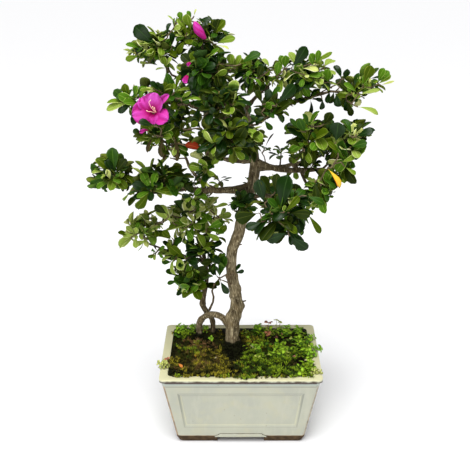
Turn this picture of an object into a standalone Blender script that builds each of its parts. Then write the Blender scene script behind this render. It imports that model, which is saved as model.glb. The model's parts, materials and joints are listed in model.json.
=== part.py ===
# An azalea bonsai in a rectangular glazed pot, as separate solids in metres, +Z up.
# The origin is on the ground, under the middle of the pot; -Y is the side that faces the viewer.
import math

import bmesh
import bpy
import numpy as np

# Driving sizes of the pot, measured over the rim.
POT_LENGTH = 0.200
POT_WIDTH = 0.150
POT_HEIGHT = 0.100
RIM_HEIGHT = 0.0045      # upright edge of the rim
COVE_HEIGHT = 0.0065     # hollow under the rim, down to the wall
RIM_WIDTH = 0.010        # level top of the rim, seen from above
WALL_INSET_TOP = 0.005   # the wall starts this far inside the rim's edge
WALL_INSET_FOOT = 0.0185
FOOT_INSET = 0.0215      # the feet stand this far inside the rim's edge
FOOT_HEIGHT = 0.0065
FOOT_THICKNESS = 0.013
FOOT_GAP_SHARE = 0.38    # part of each side that is cut out between two feet
CUT_DEPTH = 0.0075       # height of the space under the base
WALL_THICKNESS = 0.0055
FLOOR_TOP = 0.016
POT_CORNER = 0.006
PANEL_MARGIN = 0.008     # frame round the sunk panel on each wall
PANEL_BEVEL = 0.0016
PANEL_DEPTH = 0.0014

# Ground level in the pot, where the stems are cut flat.
GROUND = 0.100
SOIL_DROP = 0.0055       # the soil at the wall is this far below the ground at the stems
SOIL_LUMP = 0.0025
SOIL_LEVEL = 0.006       # the soil is level this far round the foot of a stem, to carry it
SOIL_LEVEL_END = 0.015   # and takes its own height from here on
SOIL_STEP = 0.010        # longest edge of its outline
CLEARANCE = 0.0003       # between neighbouring solids

# Stems, as places their middle passes: x, y, height and radius.
STEMS = {
    "trunk": [
        (-0.0092, 0.019, GROUND, 0.0125), (-0.0102, 0.019, 0.112, 0.0098), (-0.0059, 0.020, 0.143, 0.0090),
        (-0.0040, 0.020, 0.163, 0.0076), (-0.0085, 0.020, 0.1885, 0.0072), (-0.0129, 0.019, 0.2138, 0.0062),
        (-0.0103, 0.018, 0.236, 0.0063), (0.0027, 0.014, 0.2827, 0.0061), (0.0134, 0.011, 0.322, 0.0056),
        (0.0168, 0.010, 0.343, 0.0060), (0.0143, 0.010, 0.371, 0.0048), (0.0105, 0.011, 0.395, 0.0040),
        (0.0034, 0.012, 0.411, 0.0035), (-0.0107, 0.014, 0.432, 0.0028)],
    "second_stem": [
        (-0.0367, 0.045, GROUND, 0.0036), (-0.0378, 0.045, 0.125, 0.0031), (-0.0496, 0.047, 0.146, 0.0030),
        (-0.0438, 0.046, 0.187, 0.0025), (-0.0521, 0.042, 0.2376, 0.0020), (-0.0581, 0.040, 0.2588, 0.0017)],
    "arch_root": [
        (-0.0567, 0.043, GROUND, 0.0040), (-0.0564, 0.041, 0.121, 0.0034), (-0.0494, 0.036, 0.1339, 0.0034),
        (-0.0373, 0.030, 0.1397, 0.0035), (-0.0268, 0.025, 0.1407, 0.0036), (-0.0080, 0.020, 0.1335, 0.0040)],
}
STEM_SIDES = {"trunk": 10, "second_stem": 7, "arch_root": 7}
ROOT_LOBES = 5           # buttresses of the root flare
LOBE_DEPTH = 0.16
FLARE_TOP = 0.014        # the buttresses fade out this far above the ground

# Boughs: the limb each one leaves, at a height (on a stem) or a share of the length (on a bough), its heading
# from +X towards +Y and its rise above level in degrees, its length, how far it turns and lifts on the way,
# and its radii at base and tip.
BOUGHS = {
    "bough_left_low": ("trunk", 0.3221, -168, -15, 0.0973, -1, 37, 0.0034, 0.0022),
    "bough_left_tip": ("bough_left_low", 0.82, -182, -19, 0.0615, 12, 48, 0.0020, 0.0014),
    "bough_bloom_low": ("bough_left_low", 0.46, -179, 28, 0.0601, 53, 41, 0.0021, 0.0014),
    "bough_mid_left": ("trunk", 0.3528, -158, -3, 0.0637, 3, 36, 0.0030, 0.0018),
    "bough_right": ("trunk", 0.3503, 7, -24, 0.0749, -4, 31, 0.0040, 0.0026),
    "bough_right_up": ("bough_right", 0.72, 160, 62, 0.0273, -202, -18, 0.0021, 0.0015),
    "bough_right_hang": ("bough_right", 0.79, -74, -58, 0.0249, 37, 18, 0.0020, 0.0014),
    "bough_upper_right": ("trunk", 0.4003, 18, 21, 0.0995, -2, -10, 0.0027, 0.0016),
    "bough_right_crown": ("bough_upper_right", 0.42, -12, 42, 0.0330, -8, 10, 0.0018, 0.0013),
    "bough_shoulder": ("trunk", 0.4109, 30, 51, 0.0418, -20, -14, 0.0024, 0.0015),
    "bough_apex": ("trunk", 0.4290, 180, 50, 0.0500, 25, 11, 0.0026, 0.0015),
    "bough_upper_left": ("bough_apex", 0.24, -161, 4, 0.0600, -7, 22, 0.0021, 0.0014),
    "bough_bloom_high": ("trunk", 0.4160, -156, 18, 0.0784, 8, -19, 0.0024, 0.0015),
    "bough_front_low": ("trunk", 0.3096, -71, -9, 0.0402, 27, -4, 0.0024, 0.0016),
    "bough_front_mid": ("trunk", 0.3775, -111, 20, 0.0451, 1, 0, 0.0022, 0.0015),
    "bough_lower_left": ("second_stem", 0.2060, -160, 24, 0.0812, -4, 2, 0.0016, 0.0011),
    "bough_back_low_left": ("trunk", 0.3130, 150, -12, 0.0850, 0, 10, 0.0028, 0.0017),
    "bough_back_low_right": ("trunk", 0.3060, 65, -16, 0.0700, -10, 4, 0.0028, 0.0017),
    "bough_back_centre": ("trunk", 0.3800, 100, -4, 0.0640, 6, 12, 0.0026, 0.0016),
    "bough_back_left": ("trunk", 0.3970, 160, 6, 0.0850, -10, 10, 0.0025, 0.0015),
    "bough_back_right": ("trunk", 0.3415, 40, -10, 0.1020, -6, 18, 0.0028, 0.0016),
    "bough_back_top": ("trunk", 0.4200, 118, 26, 0.0480, 6, 14, 0.0022, 0.0014),
}
BOUGH_SIDES = 6
BOUGH_STEPS = 5
SHOOT_STEPS = 2

# Masses of leaves: the limb that carries each one, the height on a stem (None is the limb's tip), the middle
# and half sizes of the space it keeps to, its number of shoots, its leaf length and its seed.
MASSES = {
    "leaves_apex": ("bough_apex", None, (-0.051, 0.006, 0.500), (0.047, 0.036, 0.029), 5, 0.032, 114),
    "leaves_apex_low": ("trunk", 0.4240, (-0.042, -0.022, 0.466), (0.040, 0.034, 0.028), 4, 0.033, 20),
    "leaves_top_left": ("bough_upper_left", None, (-0.100, -0.008, 0.486), (0.038, 0.036, 0.033), 4, 0.033, 10),
    "leaves_bloom_high": ("bough_bloom_high", None, (-0.103, -0.042, 0.438), (0.052, 0.040, 0.030), 4, 0.033, 110),
    "leaves_bloom_low": ("bough_bloom_low", None, (-0.090, -0.030, 0.389), (0.044, 0.040, 0.030), 4, 0.033, 15),
    "leaves_centre_upper": ("trunk", 0.4080, (-0.022, -0.045, 0.433), (0.040, 0.040, 0.029), 4, 0.034, 119),
    "leaves_centre": ("bough_front_mid", None, (-0.012, -0.062, 0.396), (0.048, 0.042, 0.032), 5, 0.036, 107),
    "leaves_shoulder": ("bough_shoulder", None, (0.016, 0.016, 0.458), (0.033, 0.036, 0.031), 4, 0.032, 20),
    "leaves_upper_right": ("bough_right_crown", None, (0.070, 0.002, 0.458), (0.047, 0.038, 0.031), 5, 0.033, 115),
    "leaves_far_right": ("bough_upper_right", None, (0.144, 0.036, 0.429), (0.042, 0.040, 0.036), 5, 0.033, 9),
    "leaves_inner_right": ("trunk", 0.3950, (0.037, -0.028, 0.419), (0.034, 0.036, 0.030), 3, 0.034, 17),
    "leaves_right_mid": ("bough_right_up", None, (0.079, -0.006, 0.384), (0.032, 0.036, 0.034), 4, 0.033, 119),
    "leaves_right_outer": ("bough_right", None, (0.129, 0.002, 0.371), (0.035, 0.040, 0.043), 5, 0.033, 106),
    "leaves_right_hanging": ("bough_right_hang", None, (0.098, -0.022, 0.324), (0.028, 0.032, 0.032), 4, 0.033, 5),
    "leaves_front_low": ("bough_front_low", None, (0.048, -0.058, 0.307), (0.050, 0.044, 0.049), 6, 0.040, 101),
    "leaves_trunk_tuft": ("trunk", 0.2900, (0.000, -0.014, 0.304), (0.022, 0.026, 0.027), 2, 0.029, 15),
    "leaves_far_left": ("bough_left_tip", None, (-0.152, -0.005, 0.340), (0.033, 0.034, 0.029), 4, 0.031, 19),
    "leaves_left_mid": ("bough_left_low", None, (-0.100, -0.018, 0.327), (0.042, 0.040, 0.037), 5, 0.033, 4),
    "leaves_centre_left": ("bough_mid_left", None, (-0.037, -0.026, 0.361), (0.030, 0.034, 0.028), 3, 0.029, 101),
    "leaves_stem_top": ("second_stem", None, (-0.059, 0.040, 0.268), (0.051, 0.042, 0.036), 5, 0.031, 106),
    "leaves_stem_tip_left": ("bough_lower_left", None, (-0.125, 0.020, 0.262), (0.036, 0.034, 0.029), 4, 0.031, 3),
    "leaves_stem_mid": ("second_stem", 0.2120, (-0.054, 0.024, 0.224), (0.046, 0.036, 0.031), 4, 0.031, 13),
    "leaves_stem_low": ("second_stem", 0.1620, (-0.068, 0.040, 0.178), (0.037, 0.036, 0.030), 4, 0.030, 19),
    "leaves_trunk_twig": ("trunk", 0.1900, (-0.020, 0.002, 0.208), (0.024, 0.022, 0.022), 2, 0.021, 14),
    "leaves_back_low_left": ("bough_back_low_left", None, (-0.088, 0.066, 0.307), (0.042, 0.038, 0.034), 4, 0.033, 14),
    "leaves_back_low_right": ("bough_back_low_right", None, (0.062, 0.074, 0.276), (0.038, 0.034, 0.034), 4, 0.033, 1),
    "leaves_back_centre": ("bough_back_centre", None, (-0.010, 0.075, 0.380), (0.044, 0.032, 0.036), 4, 0.033, 118),
    "leaves_back_left": ("bough_back_left", None, (-0.092, 0.052, 0.402), (0.044, 0.038, 0.034), 4, 0.033, 4),
    "leaves_back_right": ("bough_back_right", None, (0.126, 0.068, 0.357), (0.040, 0.036, 0.036), 4, 0.033, 16),
    "leaves_back_top": ("bough_back_top", None, (-0.036, 0.054, 0.450), (0.040, 0.034, 0.032), 4, 0.032, 1),
}
LEAF_WIDTH = 0.50        # of the leaf's length
LEAF_WIDEST = 0.58       # place of the widest part along the leaf
LEAF_TIP = 0.48          # width of the blunt tip, of the leaf's width
LEAF_RISE = 0.07         # how far the blade arches, of its length
LEAF_THICKNESS = 0.0010
WHORL = 5                # leaves round the end of a shoot
WHORL_RADIUS = 0.0012    # of the knob that the leaves leave from
WHORL_HEIGHT = 0.0018
STEM_RADIUS = 0.0017
TWIG_RADIUS = 0.0012
FORK_RADIUS = 0.0004     # foot of a shoot, sunk in the twig that it leaves
TIP_RADIUS = 0.0008
TWIG_SIDES = 3
TWIG_ROOM = 0.0015       # least way between a twig and a limb or another mass's stem
LEAF_ROOM = 0.0028       # the same for the points that a leaf is tested at
MERGE = 2e-6             # points of a joined mass closer than this become one
KEPT_SHARE = 0.9         # of a joined mass's points, which its outer shell must hold
SPACE_GAP = 0.0004       # a mass stays this far inside the planes between it and its neighbours
GOLDEN_ANGLE = math.radians(137.5)

# The open bloom and the bud, each at the end of a shoot of its mass.
BLOOM_MASS = "leaves_bloom_high"
BLOOM_CENTRE = (-0.1035, -0.0720, 0.4265)
BLOOM_FACING = (-0.25, -0.90, 0.34)
PETALS = 5
PETAL_LENGTH = 0.0235
PETAL_WIDTH = 0.58       # of the petal's length, so that neighbours stay apart
PETAL_TIP = 1.20         # width of its end, of the petal's width
PETAL_OPENING = 66       # degrees between a petal and the bloom's axis
BUD_MASS = "leaves_apex"
BUD_FOOT = (-0.0440, -0.0060, 0.4880)
BUD_DIRECTION = (-0.45, -0.25, 0.86)
BUD_LENGTH = 0.018
BUD_RADIUS = 0.0042


def clear_scene():
    for old in list(bpy.data.objects):
        bpy.data.objects.remove(old, do_unlink=True)


def material(name, colour, roughness):
    made = bpy.data.materials.new(name)
    made.use_nodes = True
    shader = made.node_tree.nodes["Principled BSDF"]
    shader.inputs["Base Color"].default_value = (*colour, 1.0)
    shader.inputs["Roughness"].default_value = roughness
    shader.inputs["Metallic"].default_value = 0.0
    return made


def triangles(faces):
    """Faces cut into triangles round their first corner."""
    return [(face[0], face[k], face[k + 1]) for face in faces for k in range(1, len(face) - 1)]


def add_object(name, vertices, faces, finish=None, smooth=None):
    """One closed mesh object. smooth is the angle in degrees above which an edge stays sharp."""
    mesh = bpy.data.meshes.new(name)
    mesh.from_pydata([tuple(map(float, v)) for v in vertices], [], faces)
    if finish:
        mesh.materials.append(finish)
    if smooth:
        mesh.shade_smooth()
        mesh.set_sharp_from_angle(angle=math.radians(smooth))
    made = bpy.data.objects.new(name, mesh)
    bpy.context.scene.collection.objects.link(made)
    return made


def cut(target, cutter):
    """Takes the cutter's space out of the target."""
    cutter.hide_render = True
    cutter.display_type = "WIRE"
    boolean = target.modifiers.new("cut_" + cutter.name, "BOOLEAN")
    boolean.operation = "DIFFERENCE"
    boolean.solver = "EXACT"
    boolean.object = cutter


def unit(vector):
    vector = np.asarray(vector, float)
    return vector / np.linalg.norm(vector)


# Pot

def rounded_rectangle(half_x, half_y, radius, z, steps=2):
    """Points round a rectangle with round corners, seen from above and turning left."""
    corners = [(half_x, half_y, 0), (-half_x, half_y, 90), (-half_x, -half_y, 180), (half_x, -half_y, 270)]
    points = []
    for x, y, first in corners:
        middle = (x - math.copysign(radius, x), y - math.copysign(radius, y))
        for k in range(steps + 1):
            angle = math.radians(first + 90 * k / steps)
            points.append((middle[0] + radius * math.cos(angle), middle[1] + radius * math.sin(angle), z))
    return points


def pot_ring(inset, z, radius=POT_CORNER):
    return rounded_rectangle(POT_LENGTH / 2 - inset, POT_WIDTH / 2 - inset, radius, z)


def loft(rings, close_start=True, close_end=True):
    """Vertices and faces of a solid through rings of equal length."""
    count = len(rings[0])
    vertices = [point for ring in rings for point in ring]
    faces = []
    for r in range(len(rings) - 1):
        for k in range(count):
            after = (k + 1) % count
            faces.append((r * count + k, r * count + after, (r + 1) * count + after, (r + 1) * count + k))
    if close_start:
        faces.append(tuple(reversed(range(count))))
    if close_end:
        last = (len(rings) - 1) * count
        faces.append(tuple(last + k for k in range(count)))
    return vertices, faces


def box_object(name, low, high):
    corners = [(x, y, z) for z in (low[2], high[2]) for x, y in
               ((low[0], low[1]), (high[0], low[1]), (high[0], high[1]), (low[0], high[1]))]
    faces = [(3, 2, 1, 0), (4, 5, 6, 7), (0, 1, 5, 4), (1, 2, 6, 5), (2, 3, 7, 6), (3, 0, 4, 7)]
    return add_object(name, corners, faces)


def wall_inset(z):
    """How far the wall's outside is inside the rim's edge at height z."""
    top = POT_HEIGHT - RIM_HEIGHT - COVE_HEIGHT
    share = (z - FOOT_HEIGHT) / (top - FOOT_HEIGHT)
    return WALL_INSET_FOOT + (WALL_INSET_TOP - WALL_INSET_FOOT) * share


def make_pot(glaze):
    wall_top = POT_HEIGHT - RIM_HEIGHT - COVE_HEIGHT
    edge = 0.0008
    rings = [
        pot_ring(FOOT_INSET, 0.0),
        pot_ring(WALL_INSET_FOOT, FOOT_HEIGHT),
        pot_ring(WALL_INSET_TOP, wall_top),
        pot_ring(WALL_INSET_TOP * 0.55, wall_top + COVE_HEIGHT * 0.55),
        pot_ring(edge / 2, POT_HEIGHT - RIM_HEIGHT),
        pot_ring(0.0, POT_HEIGHT - RIM_HEIGHT + edge),
        pot_ring(0.0, POT_HEIGHT - edge),
        pot_ring(edge, POT_HEIGHT),
        pot_ring(RIM_WIDTH - edge, POT_HEIGHT),
        pot_ring(RIM_WIDTH, POT_HEIGHT - edge),
        pot_ring(wall_inset(FLOOR_TOP) + WALL_THICKNESS, FLOOR_TOP),
    ]
    vertices, faces = loft(rings)
    pot = add_object("pot", vertices, faces, glaze)
    sink_panels(pot.data)
    reach = POT_LENGTH
    gap_x = (POT_LENGTH / 2 - FOOT_INSET) * FOOT_GAP_SHARE
    gap_y = (POT_WIDTH / 2 - FOOT_INSET) * FOOT_GAP_SHARE
    inner_x = POT_LENGTH / 2 - FOOT_INSET - FOOT_THICKNESS
    inner_y = POT_WIDTH / 2 - FOOT_INSET - FOOT_THICKNESS
    cut(pot, box_object("gap_front_to_back", (-gap_x, -reach, -reach), (gap_x, reach, CUT_DEPTH)))
    cut(pot, box_object("gap_side_to_side", (-reach, -gap_y, -reach), (reach, gap_y, CUT_DEPTH)))
    cut(pot, box_object("space_under_base", (-inner_x, -inner_y, -reach), (inner_x, inner_y, CUT_DEPTH)))
    return pot


def sink_panels(mesh):
    """The four flat wall faces get a sunk panel with a sloping edge."""
    shape = bmesh.new()
    shape.from_mesh(mesh)
    low = POT_HEIGHT * 0.2
    high = POT_HEIGHT * 0.8
    walls = [f for f in shape.faces if f.calc_area() > 0.004 and f.normal.z < 0.5 and abs(f.normal.z) < 0.5
             and low < f.calc_center_median().z < high and max(map(abs, f.calc_center_median()[:2])) > 0.04
             and f.normal.dot(f.calc_center_median()) > 0.03]
    bmesh.ops.inset_individual(shape, faces=walls, thickness=PANEL_MARGIN)
    bmesh.ops.inset_individual(shape, faces=walls, thickness=PANEL_BEVEL, depth=-PANEL_DEPTH)
    shape.to_mesh(mesh)
    shape.free()


# Soil

def share_between(value, low, high):
    return min(max((value - low) / (high - low), 0.0), 1.0)


def soil_height(x, y):
    """Lumpy ground that is level at the stems and drops to the wall of the pot."""
    to_wall = min((POT_LENGTH / 2 - RIM_WIDTH - abs(x)) / 0.045, (POT_WIDTH / 2 - RIM_WIDTH - abs(y)) / 0.035)
    lumps = math.sin(97 * x + 1.3) * math.cos(118 * y - 0.6) + 0.6 * math.sin(171 * x - 64 * y)
    level = GROUND - CLEARANCE
    height = min(GROUND - SOIL_DROP * (1 - share_between(to_wall, 0, 1)) + SOIL_LUMP * lumps * 0.5, level)
    nearest = min(math.dist((x, y), places[0][:2]) - places[0][3] for places in STEMS.values())
    return level + (height - level) * share_between(nearest, SOIL_LEVEL, SOIL_LEVEL_END)


def fine_ring(inset, z):
    """The pot's outline with its long sides split into short edges."""
    ring = pot_ring(inset, z)
    points = []
    for here, after in zip(ring, ring[1:] + ring[:1]):
        spans = max(1, round(math.dist(here, after) / SOIL_STEP))
        points += [tuple(a + (b - a) * k / spans for a, b in zip(here, after)) for k in range(spans)]
    return points


def make_soil(earth):
    floor = FLOOR_TOP + CLEARANCE
    top_inset = RIM_WIDTH + 0.0004
    bottom_inset = wall_inset(FLOOR_TOP) + WALL_THICKNESS + 0.0006
    shoulder = GROUND - SOIL_DROP - SOIL_LUMP
    share = (shoulder - FLOOR_TOP) / (POT_HEIGHT - FLOOR_TOP)
    side_inset = bottom_inset + (top_inset - bottom_inset) * share
    edge = fine_ring(side_inset, shoulder)
    span_x = (POT_LENGTH / 2 - bottom_inset) / (POT_LENGTH / 2 - side_inset)
    span_y = (POT_WIDTH / 2 - bottom_inset) / (POT_WIDTH / 2 - side_inset)
    rings = [[(x * span_x, y * span_y, floor) for x, y, _ in edge], edge]
    for scale in (0.97, 0.88, 0.78, 0.66, 0.50, 0.30, 0.12):
        rings.append([(x * scale, y * scale, soil_height(x * scale, y * scale)) for x, y, _ in edge])
    vertices, faces = loft(rings)
    return add_object("soil", vertices, faces, earth, smooth=50)


# Limbs

def spline(places, spans=2):
    """A smooth curve through places, which may carry a radius as a fourth value."""
    places = np.array(places, float)
    ends = np.vstack([2 * places[0] - places[1], places, 2 * places[-1] - places[-2]])
    curve = []
    for k in range(len(places) - 1):
        a, b, c, d = ends[k:k + 4]
        for t in np.linspace(0, 1, spans, endpoint=False):
            curve.append(0.5 * (2 * b + (c - a) * t + (2 * a - 5 * b + 4 * c - d) * t ** 2
                                + (3 * b - a - 3 * c + d) * t ** 3))
    curve.append(places[-1])
    return np.array(curve)


def bough_path(start, heading, rise, length, turn, lift):
    points = [np.array(start, float)]
    for k in range(BOUGH_STEPS):
        t = (k + 0.5) / BOUGH_STEPS
        h = math.radians(heading + turn * t)
        r = math.radians(rise + lift * t)
        step = np.array([math.cos(h) * math.cos(r), math.sin(h) * math.cos(r), math.sin(r)])
        points.append(points[-1] + step * length / BOUGH_STEPS)
    return np.array(points)


def point_on(limb, place):
    """Middle and radius of a limb at a height (stems) or at a share of its length (boughs)."""
    points, radii = limb
    along = points[:, 2] if place > 0 and points[0, 2] == GROUND else None
    if along is None:
        steps = np.linalg.norm(np.diff(points, axis=0), axis=1)
        along = np.concatenate([[0], np.cumsum(steps)]) / steps.sum()
    middle = np.array([np.interp(place, along, points[:, k]) for k in range(3)])
    return middle, float(np.interp(place, along, radii))


def lay_out_limbs():
    limbs = {}
    for name, places in STEMS.items():
        curve = spline(places)
        limbs[name] = (curve[:, :3], curve[:, 3])
    for name, (parent, place, heading, rise, length, turn, lift, base, tip) in BOUGHS.items():
        start, _ = point_on(limbs[parent], place)
        points = bough_path(start, heading, rise, length, turn, lift)
        limbs[name] = (points, np.linspace(base, tip, len(points)))
    return limbs


def tube(points, radii, sides, flat_foot=False, lobes=0):
    """Vertices and faces of a round limb; flat_foot keeps the first ring level."""
    points = np.asarray(points, float)
    tangents = np.gradient(points, axis=0)
    if flat_foot:
        tangents[0] = (0, 0, 1)
    across = np.array([1.0, 0.0, 0.0])
    if abs(unit(tangents[0]) @ across) > 0.9:
        across = np.array([0.0, 1.0, 0.0])
    rings = []
    for point, tangent, radius in zip(points, tangents, radii):
        tangent = unit(tangent)
        across = unit(across - tangent * (across @ tangent))
        other = np.cross(tangent, across)
        depth = LOBE_DEPTH * max(0.0, 1 - (point[2] - GROUND) / FLARE_TOP) if lobes else 0.0
        ring = []
        for k in range(sides):
            angle = 2 * math.pi * k / sides
            reach = radius * (1 + depth * math.cos(lobes * angle + 0.7))
            ring.append(point + reach * (math.cos(angle) * across + math.sin(angle) * other))
        rings.append(ring)
    return loft(rings)


def make_limbs(limbs, bark):
    """Every limb is its own solid, fitted round its parent with a small clearance."""
    made = {}
    for name, (points, radii) in limbs.items():
        stem = name in STEMS
        sides = STEM_SIDES.get(name, BOUGH_SIDES)
        lobes = ROOT_LOBES if name == "trunk" else 0
        made[name] = add_object(name, *tube(points, radii, sides, stem, lobes), bark, smooth=50)
    parents = {name: values[0] for name, values in BOUGHS.items()}
    parents["arch_root"] = "trunk"
    sleeves = {}
    for name, parent in parents.items():
        if parent not in sleeves:
            points, radii = limbs[parent]
            sides = STEM_SIDES.get(parent, BOUGH_SIDES)
            wider = np.array(radii) + CLEARANCE / math.cos(math.pi / sides)
            shape = tube(points, wider, sides, parent in STEMS, ROOT_LOBES if parent == "trunk" else 0)
            sleeves[parent] = add_object("sleeve_" + parent, *shape)
        cut(made[name], sleeves[parent])
    return made


# Spaces of the masses

def support(radii, normal):
    return float(np.linalg.norm(np.array(radii) * normal))


def lay_out_spaces():
    """Each mass keeps to an ellipsoid, cut by a plane towards every neighbour that it would reach."""
    spaces = {}
    for name, (_, _, centre, radii, *_) in MASSES.items():
        planes = []
        for other, (_, _, their_centre, their_radii, *_) in MASSES.items():
            if other == name:
                continue
            apart = np.array(their_centre) - np.array(centre)
            distance = np.linalg.norm(apart)
            normal = apart / distance
            mine = support(radii, normal)
            theirs = support(their_radii, normal)
            if mine + theirs > distance:
                planes.append((normal, normal @ np.array(centre) + distance * mine / (mine + theirs) - SPACE_GAP))
        spaces[name] = (np.array(centre), np.array(radii), planes)
    return spaces


def inside(points, space):
    centre, radii, planes = space
    points = np.atleast_2d(points)
    if np.any(np.sum(((points - centre) / radii) ** 2, axis=1) > 1):
        return False
    return all(np.all(points @ normal <= limit) for normal, limit in planes)


def free_distance(points, segments):
    """The smallest distance from any of the points to the surface of any of the round segments."""
    starts, ends, radii = segments
    points = np.atleast_2d(points)[:, None, :]
    runs = ends - starts
    t = np.sum((points - starts) * runs, axis=2) / np.sum(runs * runs, axis=1)
    nearest = starts + np.clip(t, 0, 1)[..., None] * runs
    return float(np.min(np.linalg.norm(points - nearest, axis=2) - radii))


def segments_of(paths):
    """Start, end and radius of every stretch of the given (points, radii) paths."""
    starts = np.vstack([points[:-1] for points, _ in paths])
    ends = np.vstack([points[1:] for points, _ in paths])
    radii = np.concatenate([np.maximum(r[:-1], r[1:]) for _, r in paths])
    return starts, ends, radii


# Twigs and leaves

def bend(start, start_direction, end, end_direction, count=SHOOT_STEPS):
    """A smooth curve of count stretches that leaves and arrives in the given directions."""
    reach = np.linalg.norm(end - start)
    t = np.linspace(0, 1, count + 1)[:, None]
    return ((2 * t ** 3 - 3 * t ** 2 + 1) * start + (t ** 3 - 2 * t ** 2 + t) * start_direction * reach
            + (3 * t ** 2 - 2 * t ** 3) * end + (t ** 3 - t ** 2) * end_direction * reach)


def stem_of(mass, limbs):
    """The twig that carries a mass, from 0.3 mm clear of its limb into the mass's space."""
    parent, place, centre, *_ = MASSES[mass]
    centre = np.array(centre)
    points, radii = limbs[parent]
    if place is None:
        direction = unit(points[-1] - points[-2])
        start = points[-1] + direction * CLEARANCE
        radius = min(STEM_RADIUS, float(radii[-1]))
    else:
        middle, thickness = point_on(limbs[parent], place)
        along = unit(point_on(limbs[parent], place + 0.004)[0] - middle)
        out = centre - middle
        direction = unit(out - along * (out @ along))
        start = middle + direction * (thickness + CLEARANCE)
        radius = STEM_RADIUS * 0.8
    end = start + (centre - start) * 0.8
    path = bend(start, direction, end, unit(centre - start), 4)
    path[1] = start + direction * np.linalg.norm(path[1] - start)  # so that its foot faces the limb squarely
    return path, np.linspace(radius, TWIG_RADIUS, len(path))


def spread(count, turn):
    """Directions spread evenly over a ball."""
    k = np.arange(count)
    z = 1 - 2 * (k + 0.5) / count
    angle = k * GOLDEN_ANGLE + turn
    return np.stack([np.sqrt(1 - z ** 2) * np.cos(angle), np.sqrt(1 - z ** 2) * np.sin(angle), z], axis=1)


def blade(root, along, facing, length, width, tip_share=LEAF_TIP):
    """Five points of a blade: its widest part's two sides and keel, and the two corners of its blunt tip."""
    side = np.cross(along, facing)
    wide = root + along * length * LEAF_WIDEST + facing * length * LEAF_RISE
    tip = root + along * length
    return np.array([wide + side * width / 2, wide - side * width / 2, wide - facing * LEAF_THICKNESS,
                     tip + side * width * tip_share / 2, tip - side * width * tip_share / 2])


def blade_samples(root, points):
    """Points all over a blade, for telling how close it comes to a limb."""
    tip = (points[3] + points[4]) / 2
    inner = [root + (p - root) * s for p in points[:3] for s in (0.3, 0.65, 1.0)]
    outer = [p + (tip - p) * s for p in points[:3] for s in (0.5, 1.0)]
    return np.array(inner + outer)


def blade_surface(root, points):
    """The blade's upper face as edges and triangles; it starts a little outside the knob."""
    left, right, _, tip_left, tip_right = points
    foot = root + ((left + right) / 2 - root) * 0.12
    edges = [(foot, left), (left, tip_left), (tip_left, tip_right), (tip_right, right), (right, foot),
             (foot, (tip_left + tip_right) / 2)]
    return np.array(edges), np.array([(foot, left, right), (left, tip_left, right), (right, tip_left, tip_right)])


def pierce(edges, faces):
    """Says whether any of the edges passes through any of the triangles."""
    if not len(edges) or not len(faces):
        return False
    start, run = edges[:, None, 0], (edges[:, 1] - edges[:, 0])[:, None]
    corner, one, two = faces[None, :, 0], (faces[:, 1] - faces[:, 0])[None], (faces[:, 2] - faces[:, 0])[None]
    normal = np.cross(run, two)
    scale = np.sum(one * normal, axis=2)
    scale = np.where(np.abs(scale) < 1e-14, 1e-14, scale)
    offset = start - corner
    u = np.sum(offset * normal, axis=2) / scale
    turned = np.cross(offset, one)
    v = np.sum(run * turned, axis=2) / scale
    t = np.sum(two * turned, axis=2) / scale
    return bool(np.any((u > -0.05) & (v > -0.05) & (u + v < 1.05) & (t > -0.02) & (t < 1.02)))


class Grown:
    """What a mass has grown so far: the lines of its twigs, and the edges and faces of its blades."""

    def __init__(self):
        self.lines = np.empty((0, 2, 3))
        self.edges = np.empty((0, 2, 3))
        self.faces = np.empty((0, 3, 3))

    def add_twig(self, path):
        self.lines = np.vstack([self.lines, np.stack([path[:-1], path[1:]], axis=1)])

    def add_blade(self, root, points):
        edges, faces = blade_surface(root, points)
        self.edges = np.vstack([self.edges, edges])
        self.faces = np.vstack([self.faces, faces])

    def meets(self, root, points):
        edges, faces = blade_surface(root, points)
        return pierce(self.lines, faces) or pierce(edges, self.faces) or pierce(self.edges, faces)


def ring_frame(axis):
    across = unit(np.cross(axis, (0.31, 0.90, 0.12)))
    return across, np.cross(axis, across)


def whorl(foot, axis, phase, blades):
    """A closed knob with one blade, or None, growing out of each of its sides."""
    count = len(blades)
    across, other = ring_frame(axis)
    vertices = []
    for level in (0, WHORL_HEIGHT):
        for k in range(count):
            angle = phase + 2 * math.pi * (k - 0.5) / count
            vertices.append(foot + axis * level + WHORL_RADIUS * (math.cos(angle) * across + math.sin(angle) * other))
    faces = [tuple(reversed(range(count))), tuple(range(count, 2 * count))]
    for k, points in enumerate(blades):
        low, low_next = k, (k + 1) % count
        top, top_next = low + count, low_next + count
        if points is None:
            faces.append((low, low_next, top_next, top))
            continue
        left, right, keel, tip_left, tip_right = range(len(vertices), len(vertices) + 5)
        vertices += list(points)
        faces += [(left, right, top_next, top), (top, low, keel, left), (low_next, top_next, right, keel),
                  (low, low_next, keel), (left, tip_left, tip_right, right), (left, keel, tip_left),
                  (right, tip_right, keel), (keel, tip_right, tip_left)]
    return vertices, faces


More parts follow.
